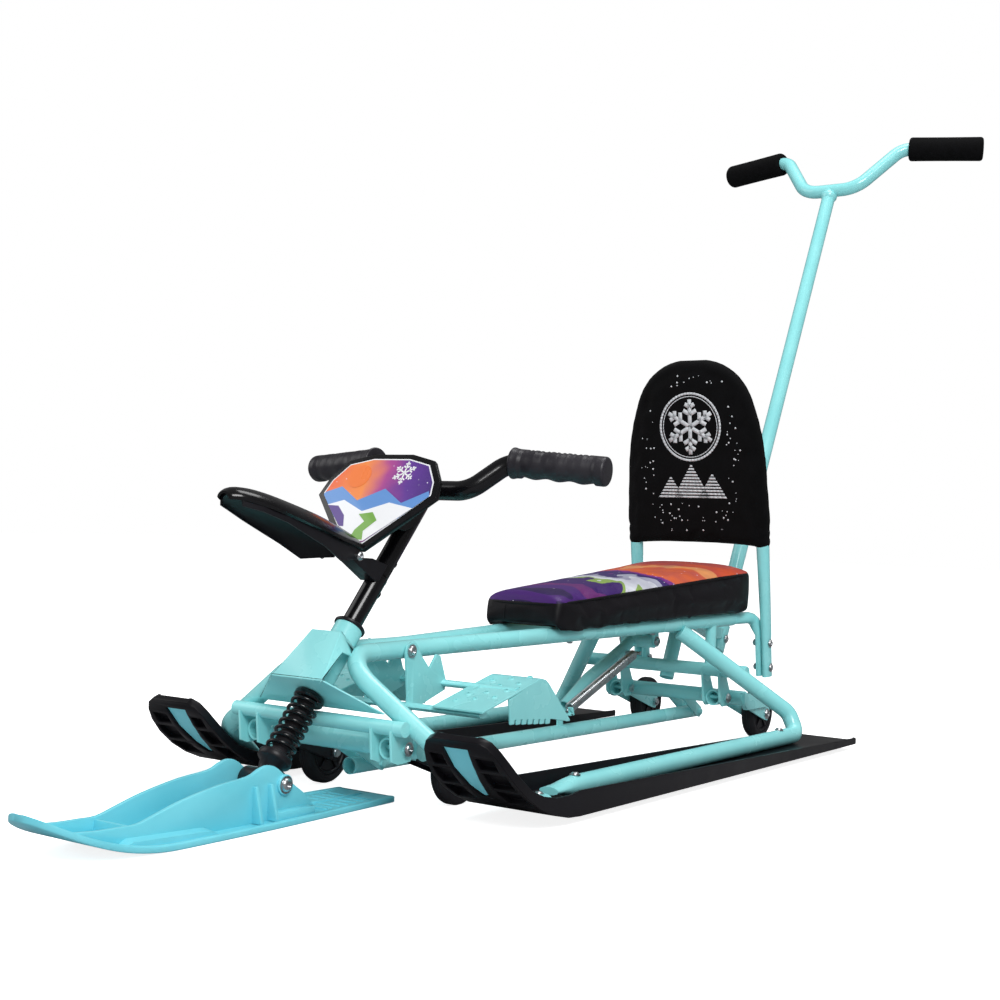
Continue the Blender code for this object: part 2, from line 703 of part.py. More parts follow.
BAR_DROP = PUSH_TOP + PUSH_AXIS * (PUSH_R + GAP)
push_corners = [(0.046, 0.0, 0.0), (0.105, 0.055, 0.072), (0.2305, 0.089, 0.066)]
right_half = [BAR_DROP + Vector(p) for p in push_corners]
left_half = [on_side(-1, p) for p in reversed(right_half)]
push_bar_line = fillet(left_half + right_half, (0.035, 0.045, 0.045, 0.035), math.radians(22))


def push_bar(radius):
    return sweep(push_bar_line, radius, FEW_SIDES, (0, 0, 1))


GRIP_IN = 0.116
rod = lathe([(PUSH_R, 0.002), (PUSH_R, (PUSH_TOP - PUSH_LOW).length + 0.006)], PUSH_LOW, PUSH_AXIS, 12)
handle = weld(push_bar(PUSH_R), rod)
finish("pusher_handle", handle, MINT)


def grip(line_end, line_start, start_x, radius, beyond, rings):
    """grip round a bar's end, as a solid that the bar is then cut out of"""
    out = (line_end - line_start).normalized()
    start = line_start + out * ((start_x - line_start.x) / out.x)
    length = (line_end - start).length
    profile = [(radius * 0.92, 0.0), (radius, 0.004)]
    profile += [(radius * r, h * length) for r, h in rings]
    profile += [(radius, length + beyond - 0.004), (radius * 0.90, length + beyond)]
    return lathe(profile, start, out, 12, across=(0, 1, 0.3))


def bar_clear(line, radius):
    """the bar a clearance wider and running out past both its ends"""
    longer = [line[0] + (line[0] - line[1]).normalized() * 0.01] + line[1:-1]
    longer.append(line[-1] + (line[-1] - line[-2]).normalized() * 0.01)
    return sweep(longer, radius + GAP, FEW_SIDES, (0, 0, 1))


for side, mark in ((1, "left"), (-1, "right")):
    bm = grip(right_half[-1], right_half[-2], GRIP_IN, GRIP_R, 0.003, [])
    bm = cut(bm if side == 1 else flip(bm), bar_clear(push_bar_line, PUSH_R))
    finish("pusher_grip_" + mark, bm, FOAM)


# Rear skis: a sole that turns up in front, side rims, pockets under the tip and a coloured insert

def ski_point(turn, x, depth):
    """a point on the tip's arc; depth is measured up from the sole"""
    reach = SKI_TURN_R - depth
    return Vector((x, SKI_TURN_Y - reach * math.sin(turn), SOLE_Z + SKI_TURN_R - reach * math.cos(turn)))


def ski_body():
    stations = [(SKI_TAIL_Y, 0.0, SKI_HALF - 0.004), (SKI_TAIL_Y - 0.006, 0.0, SKI_HALF)]
    stations += [(y, 0.0, SKI_HALF) for y in (0.10, -0.16, -0.300)]
    turns = [0.0, 0.12, 0.28, 0.42, 0.56, 0.70, 0.82, 0.91, 0.97, 1.0]
    halves = [1, 1, 1, 1, 0.99, 0.965, 0.91, 0.82, 0.70, 0.50]
    stations += [(SKI_TURN_Y, SKI_TURN * t, SKI_HALF * h) for t, h in zip(turns, halves)]
    rings = []
    for y, turn, half in stations:
        share = (SKI_TAIL_Y - y) / (SKI_TAIL_Y - SKI_TURN_Y)
        rim = SKI_RIM_TAIL + (SKI_RIM_FRONT - SKI_RIM_TAIL) * share
        floor = SKI_FLOOR
        if turn > 0:
            fade = min(1.0, turn / math.radians(32))
            rim = SKI_RIM_FRONT + (SKI_TIP_THICK - SKI_RIM_FRONT) * fade
            floor = SKI_FLOOR + (SKI_TIP_THICK - 0.0012 - SKI_FLOOR) * fade
        inner = half - SKI_WALL
        section = [(-half, 0.0), (half, 0.0), (half, rim), (inner, rim), (inner - 0.0005, floor),
                   (0.0005 - inner, floor), (-inner, rim), (-half, rim)]
        if turn > 0:
            rings.append([ski_point(turn, x, d) for x, d in section])
        else:
            rings.append([Vector((x, y, SOLE_Z + d)) for x, d in section])
    return skin(rings)


# the insert's edges, inner and outer, from its low point to its top, by share of the tip's turn
INSERT_SHARES = (0.50, 0.62, 0.78, 0.94)
INSERT_INNER = (-0.0080, -0.0130, -0.0170, -0.0182)
INSERT_OUTER = (0.0000, 0.0040, 0.0085, 0.0112)


def insert_solid(low, high, spread=0.0):
    rings = []
    for k, (share, left, right) in enumerate(zip(INSERT_SHARES, INSERT_INNER, INSERT_OUTER)):
        turn = SKI_TURN * share
        turn += (spread / SKI_TURN_R) * (-1 if k == 0 else 1 if k == 3 else 0)
        rings.append([ski_point(turn, left - spread, low), ski_point(turn, right + spread, low),
                      ski_point(turn, right + spread, high), ski_point(turn, left - spread, high)])
    return skin(rings)


def pocket(share_a, share_b, left, right):
    """moulded pocket under the tip"""
    rings = []
    for share in (share_a, (share_a + share_b) / 2, share_b):
        turn = SKI_TURN * share
        rings.append([ski_point(turn, left, -0.004), ski_point(turn, right, -0.004),
                      ski_point(turn, right, SKI_POCKET), ski_point(turn, left, SKI_POCKET)])
    return skin(rings)


def rear_ski():
    tools = [insert_solid(-0.004, SKI_POCKET, GAP)]
    for share_a, share_b, edge in ((0.44, 0.60, 0.0455), (0.63, 0.77, 0.0440), (0.80, 0.885, 0.0380)):
        tools.append(pocket(share_a, share_b, -edge, -0.0225))
        tools.append(pocket(share_a, share_b, 0.0165, edge))
    return cut(ski_body(), *tools)


for side, mark in ((1, "left"), (-1, "right")):
    ski = rear_ski()
    insert = insert_solid(SKI_POCKET - GAP - INSERT_THICK, SKI_POCKET - GAP)
    for bm in (ski, insert):
        bmesh.ops.translate(bm, vec=(SKI_X, 0, 0), verts=bm.verts)
    if side == -1:
        ski, insert = flip(ski), flip(insert)
    finish("rear_ski_" + mark, ski, BLACK_PLASTIC)
    finish("ski_insert_" + mark, insert, SKY)

# Long bolts on which the foot brake and the retract lever turn

BRAKE_X = RAIL_FRONT.x + RAIL_R + 0.0030
BRAKE_T = 0.0030
BRAKE_RUN = BRAKE_X + BRAKE_T + 2 * GAP
finish("brake_pivot_bolt", bolt(BRAKE_PIVOT + Vector((BRAKE_RUN, 0, 0)), (-1, 0, 0), 2 * BRAKE_RUN), STEEL)
LEVER_EAR_X = 0.0235
LEVER_RUN = LEVER_EAR_X + 0.003 + GAP
finish("lever_pivot_bolt", bolt(LEVER_PIVOT + Vector((LEVER_RUN, 0, 0)), (-1, 0, 0), 2 * LEVER_RUN), STEEL)


# Wheel carriages: two stub tubes on pivot bolts, a beam, and arms to the axles

def stub(side, stub_x, centre, front_y, rear_y):
    start = Vector((side * stub_x, front_y, centre.z))
    end = Vector((side * stub_x, rear_y, centre.z))
    return sweep([start, end], STUB_R, bores=((STUB_BORE, 0.020), None))


def link_ears(beam, pivot_at, top, radius):
    """two plates from the beam to the link tube's pivot bolt"""
    plates = []
    outline = [(beam.y - 0.008, beam.z - 0.006), (beam.y - 0.004, top), (beam.y + 0.006, top - 0.001),
               (pivot_at.y + 0.006, pivot_at.z + 0.006), (pivot_at.y + 0.007, pivot_at.z - 0.004),
               (pivot_at.y + 0.001, pivot_at.z - 0.008), (pivot_at.y - 0.006, pivot_at.z - 0.006)]
    for side in (1, -1):
        points = [(side * (radius + GAP), y, z) for y, z in outline]
        plates.append(prism(points, (side * LUG_T, 0, 0)))
    return plates


FRONT_BEAM_R = 0.012
REAR_BEAM_R = 0.010
FORK_HALF = WHEEL_W / 2 + 0.0022
FORK_T = 0.0030
front_link_pivot = FRONT_PIVOT + LINK_ARM
rear_link_pivot = REAR_PIVOT + LINK_ARM

front_reach = WHEEL_X + FORK_HALF + FORK_T
beam = sweep([FRONT_BEAM - Vector((front_reach, 0, 0)), FRONT_BEAM + Vector((front_reach, 0, 0))],
             FRONT_BEAM_R, FEW_SIDES, (0, 0, 1))
pieces = [stub(side, FRONT_STUB_X, FRONT_PIVOT, -0.4740, FRONT_BEAM.y) for side in (1, -1)]
pieces += link_ears(FRONT_BEAM, front_link_pivot, FRONT_BEAM.z + 0.004, LINK_R)
tools = [hole(FRONT_PIVOT + Vector((side * 0.06, 0, 0)), (side, 0, 0), 0.06) for side in (1, -1)]
front_carriage = weld(cut(weld(beam, *pieces), *tools), riveted_pin(front_link_pivot, LINK_R + GAP + LUG_T))
finish("front_carriage", front_carriage, MINT, "front_carriage_axis")

for side, mark in ((1, "left"), (-1, "right")):
    arms = []
    outline = [(-0.4440, 0.0560), (-0.4475, 0.0700), (-0.4400, 0.0830), (-0.4260, 0.0820), (-0.3540, 0.0475),
               (-0.3490, 0.0380), (-0.3510, 0.0290), (-0.3590, 0.0255), (-0.3680, 0.0285)]
    for offset in (-FORK_HALF - FORK_T, FORK_HALF):
        points = [(side * WHEEL_X + side * offset, y, z) for y, z in outline]
        arms.append(prism(points, (side * FORK_T, 0, 0)))
    x_in = side * (WHEEL_X - FORK_HALF - 0.001)
    x_out = side * (WHEEL_X + FORK_HALF + 0.001)
    web = slab((min(x_in, x_out), -0.4270, 0.0600), (max(x_in, x_out), -0.4000, 0.0815))
    wheel_clear = lathe([(WHEEL_R + 0.0025, -0.02), (WHEEL_R + 0.0025, 0.02)],
                        (side * WHEEL_X, FRONT_AXLE_Y, WHEEL_R), (1, 0, 0), 24)
    web = cut(web, wheel_clear)
    fork = weld(arms[0], web, arms[1])
    beam_clear = sweep([FRONT_BEAM - Vector((0.12, 0, 0)), FRONT_BEAM + Vector((0.12, 0, 0))],
                       FRONT_BEAM_R + GAP, FEW_SIDES, (0, 0, 1))
    axle_hole = hole((side * 0.07, FRONT_AXLE_Y, WHEEL_R), (side, 0, 0), 0.05, AXLE_R)
    stub_clear = sweep([(side * FRONT_STUB_X, -0.49, FRONT_PIVOT.z), (side * FRONT_STUB_X, -0.42, FRONT_PIVOT.z)],
                       STUB_R + GAP)
    finish("wheel_fork_" + mark, cut(fork, beam_clear, stub_clear, axle_hole), BLACK_PLASTIC,
           "front_carriage_axis")

rear_reach = WHEEL_X + FORK_HALF + FORK_T
beam = sweep([REAR_BEAM - Vector((rear_reach, 0, 0)), REAR_BEAM + Vector((rear_reach, 0, 0))],
             REAR_BEAM_R, FEW_SIDES, (0, 0, 1))
pieces = [stub(side, REAR_STUB_X, REAR_PIVOT, 0.2570, REAR_BEAM.y) for side in (1, -1)]
pieces += link_ears(REAR_BEAM, rear_link_pivot, REAR_BEAM.z + 0.004, LINK_R)
arm = [(0.2900, 0.0540), (0.2890, 0.0720), (0.3600, 0.0620), (0.3800, 0.0440), (0.3810, 0.0330),
       (0.3740, 0.0260), (0.3640, 0.0280)]
guard = [(0.2900, 0.0560), (0.2890, 0.0720), (0.3250, 0.0680), (0.3640, 0.0500), (0.3660, 0.0470),
         (0.3000, 0.0470)]
for side in (1, -1):
    inner_x = side * (WHEEL_X - FORK_HALF - FORK_T)
    outer_x = side * (WHEEL_X + FORK_HALF)
    pieces.append(prism([(inner_x, y, z) for y, z in arm], (side * FORK_T, 0, 0)))
    pieces.append(prism([(outer_x, y, z) for y, z in arm], (side * FORK_T, 0, 0)))
    pieces.append(prism([(outer_x, y, z) for y, z in guard], (side * (FORK_T + 0.004), 0, 0)))
tools = [hole(REAR_PIVOT + Vector((side * 0.05, 0, 0)), (side, 0, 0), 0.06) for side in (1, -1)]
tools += [hole((side * 0.07, REAR_AXLE_Y, WHEEL_R), (side, 0, 0), 0.05, AXLE_R) for side in (1, -1)]
rear_carriage = weld(cut(weld(beam, *pieces), *tools), riveted_pin(rear_link_pivot, LINK_R + GAP + LUG_T))
finish("rear_carriage", rear_carriage, MINT, "rear_carriage_axis")

# Link tube joins both carriages, so that all four wheels rise together
LINK_FRONT_Y = -0.425
link = sweep([(0, LINK_FRONT_Y, front_link_pivot.z), (0, -0.395, front_link_pivot.z),
              (0, rear_link_pivot.y - 0.01, rear_link_pivot.z),
              (0, rear_link_pivot.y + 0.011, rear_link_pivot.z)], LINK_R, bores=((0.0072, 0.02), (0.0072, 0.006)))
TAB_Y = -0.0148
tab = prism([(-0.0015, TAB_Y - 0.006, 0.038), (-0.0015, TAB_Y + 0.006, 0.038), (-0.0015, TAB_Y + 0.005, 0.0585),
             (-0.0015, TAB_Y - 0.005, 0.0585)], (0.003, 0, 0))
cap_plate = slab((-0.004, TAB_Y - 0.005, 0.0570), (0.0190, TAB_Y + 0.005, 0.0595))
seat_up = EXT_DIR.cross(Vector((1, 0, 0))) * -1
seat_plate = prism([SPRING_SEAT + Vector((x, 0, 0)) + seat_up * u for x, u in
                    ((-0.0035, -0.0060), (0.0035, -0.0060), (0.0035, 0.0040), (-0.0035, 0.0040))], EXT_DIR * -0.0030)
tools = [hole(at + Vector((-0.02, 0, 0)), (1, 0, 0), 0.04, PIVOT_BOLT_R + 0.0002)
         for at in (front_link_pivot, rear_link_pivot)]
finish("link_tube", cut(weld(link, tab, cap_plate, seat_plate), *tools), MINT, "link_axis")

AXLE_RUN = 2 * (FORK_HALF + FORK_T + GAP)
for wheel, (side, axle_y, carrier) in WHEELS.items():
    pin = bolt((side * (WHEEL_X + AXLE_RUN / 2), axle_y, WHEEL_R), (-side, 0, 0), AXLE_RUN, AXLE_R, 0.006, 0.0025)
    finish("axle_" + wheel, pin, STEEL, carrier)

HUB_R = 0.0265
HUB_BORE = AXLE_R + PLAY + 0.0001
for wheel, (side, axle_y, carrier) in WHEELS.items():
    at = Vector((side * WHEEL_X, axle_y, WHEEL_R))
    half = WHEEL_W / 2
    tyre = lathe([(HUB_R + GAP, -half + 0.001), (0.0325, -half + 0.001), (WHEEL_R, -half + 0.006),
                  (WHEEL_R, half - 0.006), (0.0325, half - 0.001), (HUB_R + GAP, half - 0.001)],
                 at, (1, 0, 0), BORE_SIDES, True, (0, 0, 1))
    finish("tyre_" + wheel, tyre, RUBBER, wheel + "_axle")
    hub = lathe([(HUB_BORE, -half - 0.001), (0.0110, -half - 0.001), (HUB_R, -half + 0.0025),
                 (HUB_R, half - 0.0025), (0.0110, half + 0.001), (HUB_BORE, half + 0.001)],
                at, (1, 0, 0), BORE_SIDES, True, (0, 0, 1))
    finish("hub_" + wheel, hub, BLACK_PLASTIC, wheel + "_axle")


# Retract lever: hung from a bracket under the rails, with the spring that holds the wheels down or up

LEVER_R = 0.0080
LEVER_X = -0.0120
bracket_y = LEVER_PIVOT.y
bracket_bar = sweep([(-0.056, bracket_y - 0.004, 0.1630), (0.056, bracket_y - 0.004, 0.1630)], 0.0060, FEW_SIDES,
                    (0, 0, 1))
ears = []
for side in (1, -1):
    outline = [(bracket_y - 0.011, 0.1630), (bracket_y + 0.004, 0.1630), (bracket_y + 0.007, 0.1400),
               (bracket_y, 0.1360), (bracket_y - 0.007, 0.1400)]
    ears.append(prism([(side * LEVER_EAR_X, y, z) for y, z in outline], (side * 0.003, 0, 0)))
clear_rails = [side_tube(side, RAIL_R + GAP) for side in (1, -1)]
runner_up = (RUNNER_TOP - RUNNER_RISE).normalized() * 0.004
clear_rails += [sweep([on_side(side, RUNNER_RISE), on_side(side, RUNNER_TOP + runner_up)], RUNNER_R + GAP)
                for side in (1, -1)]
bracket = cut(weld(bracket_bar, *ears), *clear_rails, hole(LEVER_PIVOT + Vector((-0.04, 0, 0)), (1, 0, 0), 0.08))
finish("lever_bracket", bracket, MINT)
lever_line = fillet([LEVER_PIVOT + Vector((LEVER_X, 0.0, 0.0)), LEVER_PIVOT + Vector((LEVER_X, -0.022, -0.010)),
                     (LEVER_X, 0.0700, 0.0960), (LEVER_X, 0.0140, 0.0640)], (0.02, 0.05))
lever = sweep(lever_line, LEVER_R, FEW_SIDES, bores=(None, (0.0064, 0.015)))
boss = lathe([(0.0095, -LEVER_EAR_X + GAP), (0.0095, LEVER_EAR_X - GAP)], LEVER_PIVOT, (1, 0, 0), 16)
spring_pin = sweep([(LEVER_X, SPRING_PIN.y, SPRING_PIN.z), SPRING_PIN + Vector((0.0025, 0, 0))], SPRING_PIN_R, 8,
                   (0, 0, 1))
lever = weld(lever, boss, spring_pin)
tools = [hole(LEVER_PIVOT + Vector((-0.04, 0, 0)), (1, 0, 0), 0.08, PIVOT_BOLT_R + 0.0002)]
finish("retract_lever", cut(lever, *tools), MINT, "lever_axis")


def coil(start, end, radius, wire, turns, steps, across):
    """helix line from start to end whose two ends run straight along the axis"""
    axis = (end - start).normalized()
    side = Vector(across)
    side = (side - axis * side.dot(axis)).normalized()
    up = axis.cross(side)
    lead = 2 * wire
    rise = (end - start).length - 2 * lead
    line = [start + side * radius]
    for k in range(turns * steps + 1):
        angle = 2 * math.pi * k / steps
        line.append(start + axis * (lead + rise * k / (turns * steps))
                    + (side * math.cos(angle) + up * math.sin(angle)) * radius)
    line.append(end + side * radius)
    return line


def coil_gap(line, wire, steps):
    """least gap between two stretches of a coil's wire, at least half a turn apart"""
    least = 1.0
    for k, point in enumerate(line):
        for other in line[k + steps // 2 + 1:k + 2 * steps]:
            least = min(least, (point - other).length - 2 * wire)
    return least


def wire_solid(line, radius, sides=6):
    return sweep(line, radius, sides, across=(0.2, 0.5, 0.8))


# the extension spring runs from a plate on the link tube's tab up to the lever's pin
EXT_TOP = SPRING_PIN - EXT_DIR * (SPRING_PIN_R + GAP) - Vector((EXT_R, 0, 0))
EXT_LOW = SPRING_SEAT + EXT_DIR * GAP - Vector((EXT_R, 0, 0))
ext_line = coil(EXT_LOW, EXT_TOP, EXT_R, EXT_WIRE, EXT_TURNS, EXT_STEPS, (1, 0, 0))
print("extension spring, least gap in mm:", round(coil_gap(ext_line, EXT_WIRE, EXT_STEPS) * 1000, 2))
finish("extension_spring", wire_solid(ext_line, EXT_WIRE), STEEL, "lever_axis", crease=80)


# Steering column, handlebar and grips

rod_bore = lathe([(SHOCK_ROD_R + GAP, COLLAR_LOW - 0.01), (SHOCK_ROD_R + GAP, 0.16)], PIVOT, AXIS, 12)
column = lathe([(COLLAR_R * 0.92, COLLAR_LOW), (COLLAR_R, COLLAR_LOW + 0.0012), (COLLAR_R, COLLAR_HIGH - 0.0004),
                (COLUMN_R, COLLAR_HIGH - 0.0004), (COLUMN_R, SEAM_S)], PIVOT, AXIS, BORE_SIDES)
SPIGOT_R = 0.0086
spigot_bore = lathe([(SPIGOT_R + GAP, 0.205), (SPIGOT_R + GAP, 0.30)], PIVOT, AXIS, 16)
finish("steering_column", cut(column, rod_bore, spigot_bore), BLACK_GLOSS, "steering_axis")

bar_half = [Vector((0.062, -0.313, 0.333)), Vector((0.093, -0.281, 0.366)), Vector((0.2054, -0.261, 0.358))]
bar_line = fillet([on_side(-1, p) for p in reversed(bar_half)] + bar_half, (0.03, 0.03, 0.03, 0.03))


def handlebar(radius):
    return sweep(bar_line, radius, FEW_SIDES, (0, 0, 1))


COLUMN_TOP = (BAR_CENTRE - PIVOT).dot(AXIS) + 0.006
upper = lathe([(SPIGOT_R, 0.210), (SPIGOT_R, SEAM_S + GAP), (COLUMN_R, SEAM_S + GAP), (COLUMN_R, COLUMN_TOP)],
              PIVOT, AXIS, BORE_SIDES)
upper = weld(upper, handlebar(BAR_R))
finish("handlebar", upper, BLACK_GLOSS, "steering_axis")
for side, mark in ((1, "left"), (-1, "right")):
    bm = grip(bar_half[-1], bar_half[-2], 0.0965, 0.0165, 0.003, [(0.94, 0.15), (1.0, 0.5), (0.94, 0.85)])
    bm = cut(bm if side == 1 else flip(bm), bar_clear(bar_line, BAR_R))
    finish("grip_" + mark, bm, RUBBER, "steering_axis")


# Dashboard shield on a housing that grips the column, with a beak-like visor below it

SHIELD_FACE = Vector((0.0, -0.3715, 0.3632))
SHIELD_DOWN = Vector((0.0, -0.0400, -0.0615)).normalized()
SHIELD_OUT = Vector((0.0, -0.0615, 0.0400)).normalized()
SHIELD_T = 0.006


# rows of the shield from top to tip: distance down its face and half width there
SHIELD_ROWS = ((-0.0085, 0.0260), (0.0, 0.0595), (0.0250, 0.0770), (0.0470, 0.0820), (0.0800, 0.0500),
               (0.1150, 0.0150))


def shield_layer(inset, low, high):
    """flat plate with the shield's outline, drawn in by inset"""
    rings = []
    for down, half in SHIELD_ROWS:
        half -= inset * (1.0 if half > 0.05 else 0.7)
        down = 0.045 + (down - 0.045) * (1 - inset / 0.055)
        row = []
        for level, order in ((high, (-1, 1)), (low, (1, -1))):
            for k in order:
                x = half * k
                row.append(SHIELD_FACE + Vector((x, 0, 0)) + SHIELD_DOWN * down + SHIELD_OUT * level)
        rings.append(row)
    return skin(rings)


shield = shield_layer(0.0, -SHIELD_T, 0.0)
housing = prism([head(-0.017, 0.333, 0.003), head(-0.017, 0.378, 0.003), (-0.017, -0.3745, 0.352),
                 (-0.017, -0.4060, 0.304), (-0.017, -0.4060, 0.294), (-0.017, -0.3660, 0.287)], (0.034, 0, 0))
column_clear = lathe([(COLUMN_R + GAP, 0.2), (COLUMN_R + GAP, 0.45)], PIVOT, AXIS, BORE_SIDES)
shield = cut(weld(shield, housing), column_clear.copy(), handlebar(BAR_R + GAP))
finish("dash_shield", shield, BLACK_GLOSS, "steering_axis")

# stations of the visor from its rear to its tip: y, ridge height, half width, side drop, skirt drop
VISOR = (
    (-0.4400, 0.2800, 0.0220, 0.0120, 0.0080),
    (-0.4567, 0.2875, 0.0265, 0.0150, 0.0130),
    (-0.4818, 0.2962, 0.0315, 0.0180, 0.0200),
    (-0.5100, 0.3050, 0.0345, 0.0190, 0.0130),
    (-0.5650, 0.3190, 0.0340, 0.0170, 0.0060),
    (-0.5920, 0.3245, 0.0275, 0.0140, 0.0050),
    (-0.6120, 0.3255, 0.0185, 0.0100, 0.0050),
    (-0.6226, 0.3215, 0.0090, 0.0055, 0.0050),
)
VISOR_T = 0.0025


def visor_shell(station, inner, outer, below):
    """open arch across the visor; inner and outer are offsets from its face"""
    y, ridge, half, drop, skirt = station
    arch = [(-1.0, 1.0), (-0.82, 0.50), (-0.45, 0.13), (0.0, 0.0), (0.45, 0.13), (0.82, 0.50), (1.0, 1.0)]
    tail = skirt * below
    over = [Vector((w * half, y, ridge - drop * d - outer)) for w, d in arch]
    under = [Vector((w * (half - inner), y, ridge - drop * d - outer - inner)) for w, d in arch]
    over = [over[0] - Vector((0, 0, tail))] + over + [over[-1] - Vector((0, 0, tail))]
    under = [under[0] - Vector((0, 0, max(tail - inner, 0.0004)))] + under \
        + [under[-1] - Vector((0, 0, max(tail - inner, 0.0004)))]
    return over + list(reversed(under))


upper_visor = skin([visor_shell(station, VISOR_T, 0.0, 0.12) for station in VISOR])


def lower_station(station):
    y, ridge, half, drop, skirt = station
    inset = VISOR_T + GAP
    return (y, ridge - inset - 0.0004, half - inset, drop, skirt)


lower_visor = skin([visor_shell(lower_station(station), VISOR_T * 0.8, 0.0, 1.0) for station in VISOR[:-1]])
finish("visor_upper", upper_visor, BLACK_GLOSS, "steering_axis")
neck = prism([(-0.0100, y, z) for y, z in (
    (-0.4640, 0.2848), (-0.4640, 0.2760), (-0.4400, 0.2540), (-0.4060, 0.2330), (-0.3940, 0.2330),
    (-0.3790, 0.2480), (-0.4100, 0.2570), (-0.4340, 0.2580), (-0.4440, 0.2660), (-0.4460, 0.2774))], (0.020, 0, 0))
neck = cut(neck, column_clear)
finish("visor_lower", weld(lower_visor, neck), BLACK_PLASTIC, "steering_axis")


# Shock absorber: coil spring over a ribbed bellows, between the column's collar and the fork below

spring_line = coil(PIVOT + AXIS * (SPRING_LOW + GAP), PIVOT + AXIS * (COLLAR_LOW - GAP), SPRING_R, SPRING_WIRE,
                   SPRING_TURNS, 10, (1, 0, 0))
print("shock spring, least gap in mm:", round(coil_gap(spring_line, SPRING_WIRE, 10) * 1000, 2))
finish("shock_spring", wire_solid(spring_line, SPRING_WIRE), BLACK_GLOSS, "steering_axis", crease=80)
bellows = [(SHOCK_ROD_R + 0.0008, SPRING_LOW + GAP), (BELLOWS_R * 0.8, SPRING_LOW + GAP)]
pitch = (COLLAR_LOW - SPRING_LOW - 2 * GAP) / BELLOWS_RIBS
for k in range(BELLOWS_RIBS):
    at = SPRING_LOW + GAP + pitch * k
    bellows += [(BELLOWS_R * 0.8, at + pitch * 0.15), (BELLOWS_R, at + pitch * 0.5)]
bellows += [(BELLOWS_R * 0.8, COLLAR_LOW - GAP), (SHOCK_ROD_R + 0.0008, COLLAR_LOW - GAP)]
finish("shock_bellows", lathe(bellows, PIVOT, AXIS, FEW_SIDES, True), RUBBER, "steering_axis")

FORK_HALF_W = 0.0230
cup = lathe([(0.0090, 0.004), (0.0130, 0.0190), (0.0175, 0.0225), (0.0180, SPRING_LOW), (SHOCK_ROD_R, SPRING_LOW),
             (SHOCK_ROD_R, 0.128)], PIVOT, AXIS, 16)
knuckle = lathe([(0.0110, -FORK_HALF_W), (0.0125, -FORK_HALF_W + 0.002), (0.0125, FORK_HALF_W - 0.002),
                 (0.0110, FORK_HALF_W)], PIVOT, (1, 0, 0), 16)
SKI_BOLT_R = 0.004
knuckle_hole = hole(PIVOT + Vector((-0.04, 0, 0)), (1, 0, 0), 0.08, SKI_BOLT_R + 0.0002)
finish("shock_fork", cut(weld(cup, knuckle), knuckle_hole), BLACK_PLASTIC, "shock_axis")


# Front ski: flanged sole, turned-up nose, raised channel with ears for the pivot bolt

FRONT_TAIL_Y = -0.3980
FRONT_TIP_Y = -0.8450
NOSE_START = -0.700
FRONT_SOLE_T = 0.0065
FRONT_WALL_X = 0.0290
FRONT_WALL_T = 0.0050


def nose_rise(y):
    return 3.0 * max(0.0, NOSE_START - y) ** 2.27


def front_sole():
    plan = [(FRONT_TAIL_Y, 0.0385), (FRONT_TAIL_Y - 0.004, 0.0405), (-0.4700, 0.0440), (-0.5400, 0.0475),
            (-0.6100, 0.0500), (-0.7000, 0.0505), (-0.7300, 0.0505), (-0.7580, 0.0500), (-0.7830, 0.0485),
            (-0.8050, 0.0440), (-0.8220, 0.0370), (-0.8340, 0.0280), (-0.8420, 0.0160), (FRONT_TIP_Y, 0.0060)]
    rings = []
    for y, half in plan:
        z = nose_rise(y)
        top = z + FRONT_SOLE_T
        rim = min(0.006, half * 0.3)
        dip = 0.0020 if -0.80 < y < FRONT_TAIL_Y - 0.001 else 0.0003
        rings.append([Vector((x, y, h)) for x, h in (
            (-half, z), (half, z), (half, top), (half - rim, top), (half - rim, top - dip),
            (rim - half, top - dip), (rim - half, top), (-half, top))])
    return skin(rings)


def channel_wall(side):
    """side wall of the channel, with the ear round the pivot bolt"""
    z0 = 0.0030
    top = [(-0.8080, 0.0270), (-0.7850, 0.0250), (-0.7600, 0.0245), (-0.7404, 0.0245), (-0.7194, 0.0300),
           (-0.6876, 0.0385), (-0.6431, 0.0465), (-0.6050, 0.0485), (-0.5950, 0.0525), (-0.5840, 0.0575),
           (-0.5750, 0.0580), (-0.5640, 0.0530), (-0.5430, 0.0365), (-0.5240, 0.0236), (-0.5090, 0.0080)]
    low = [(y, z0 + nose_rise(y)) for y in (-0.5090, -0.7000, -0.7404, -0.7750, -0.8080)]
    points = [(side * (FRONT_WALL_X - FRONT_WALL_T), y, z) for y, z in top + low]
    return prism(points, (side * FRONT_WALL_T, 0, 0))


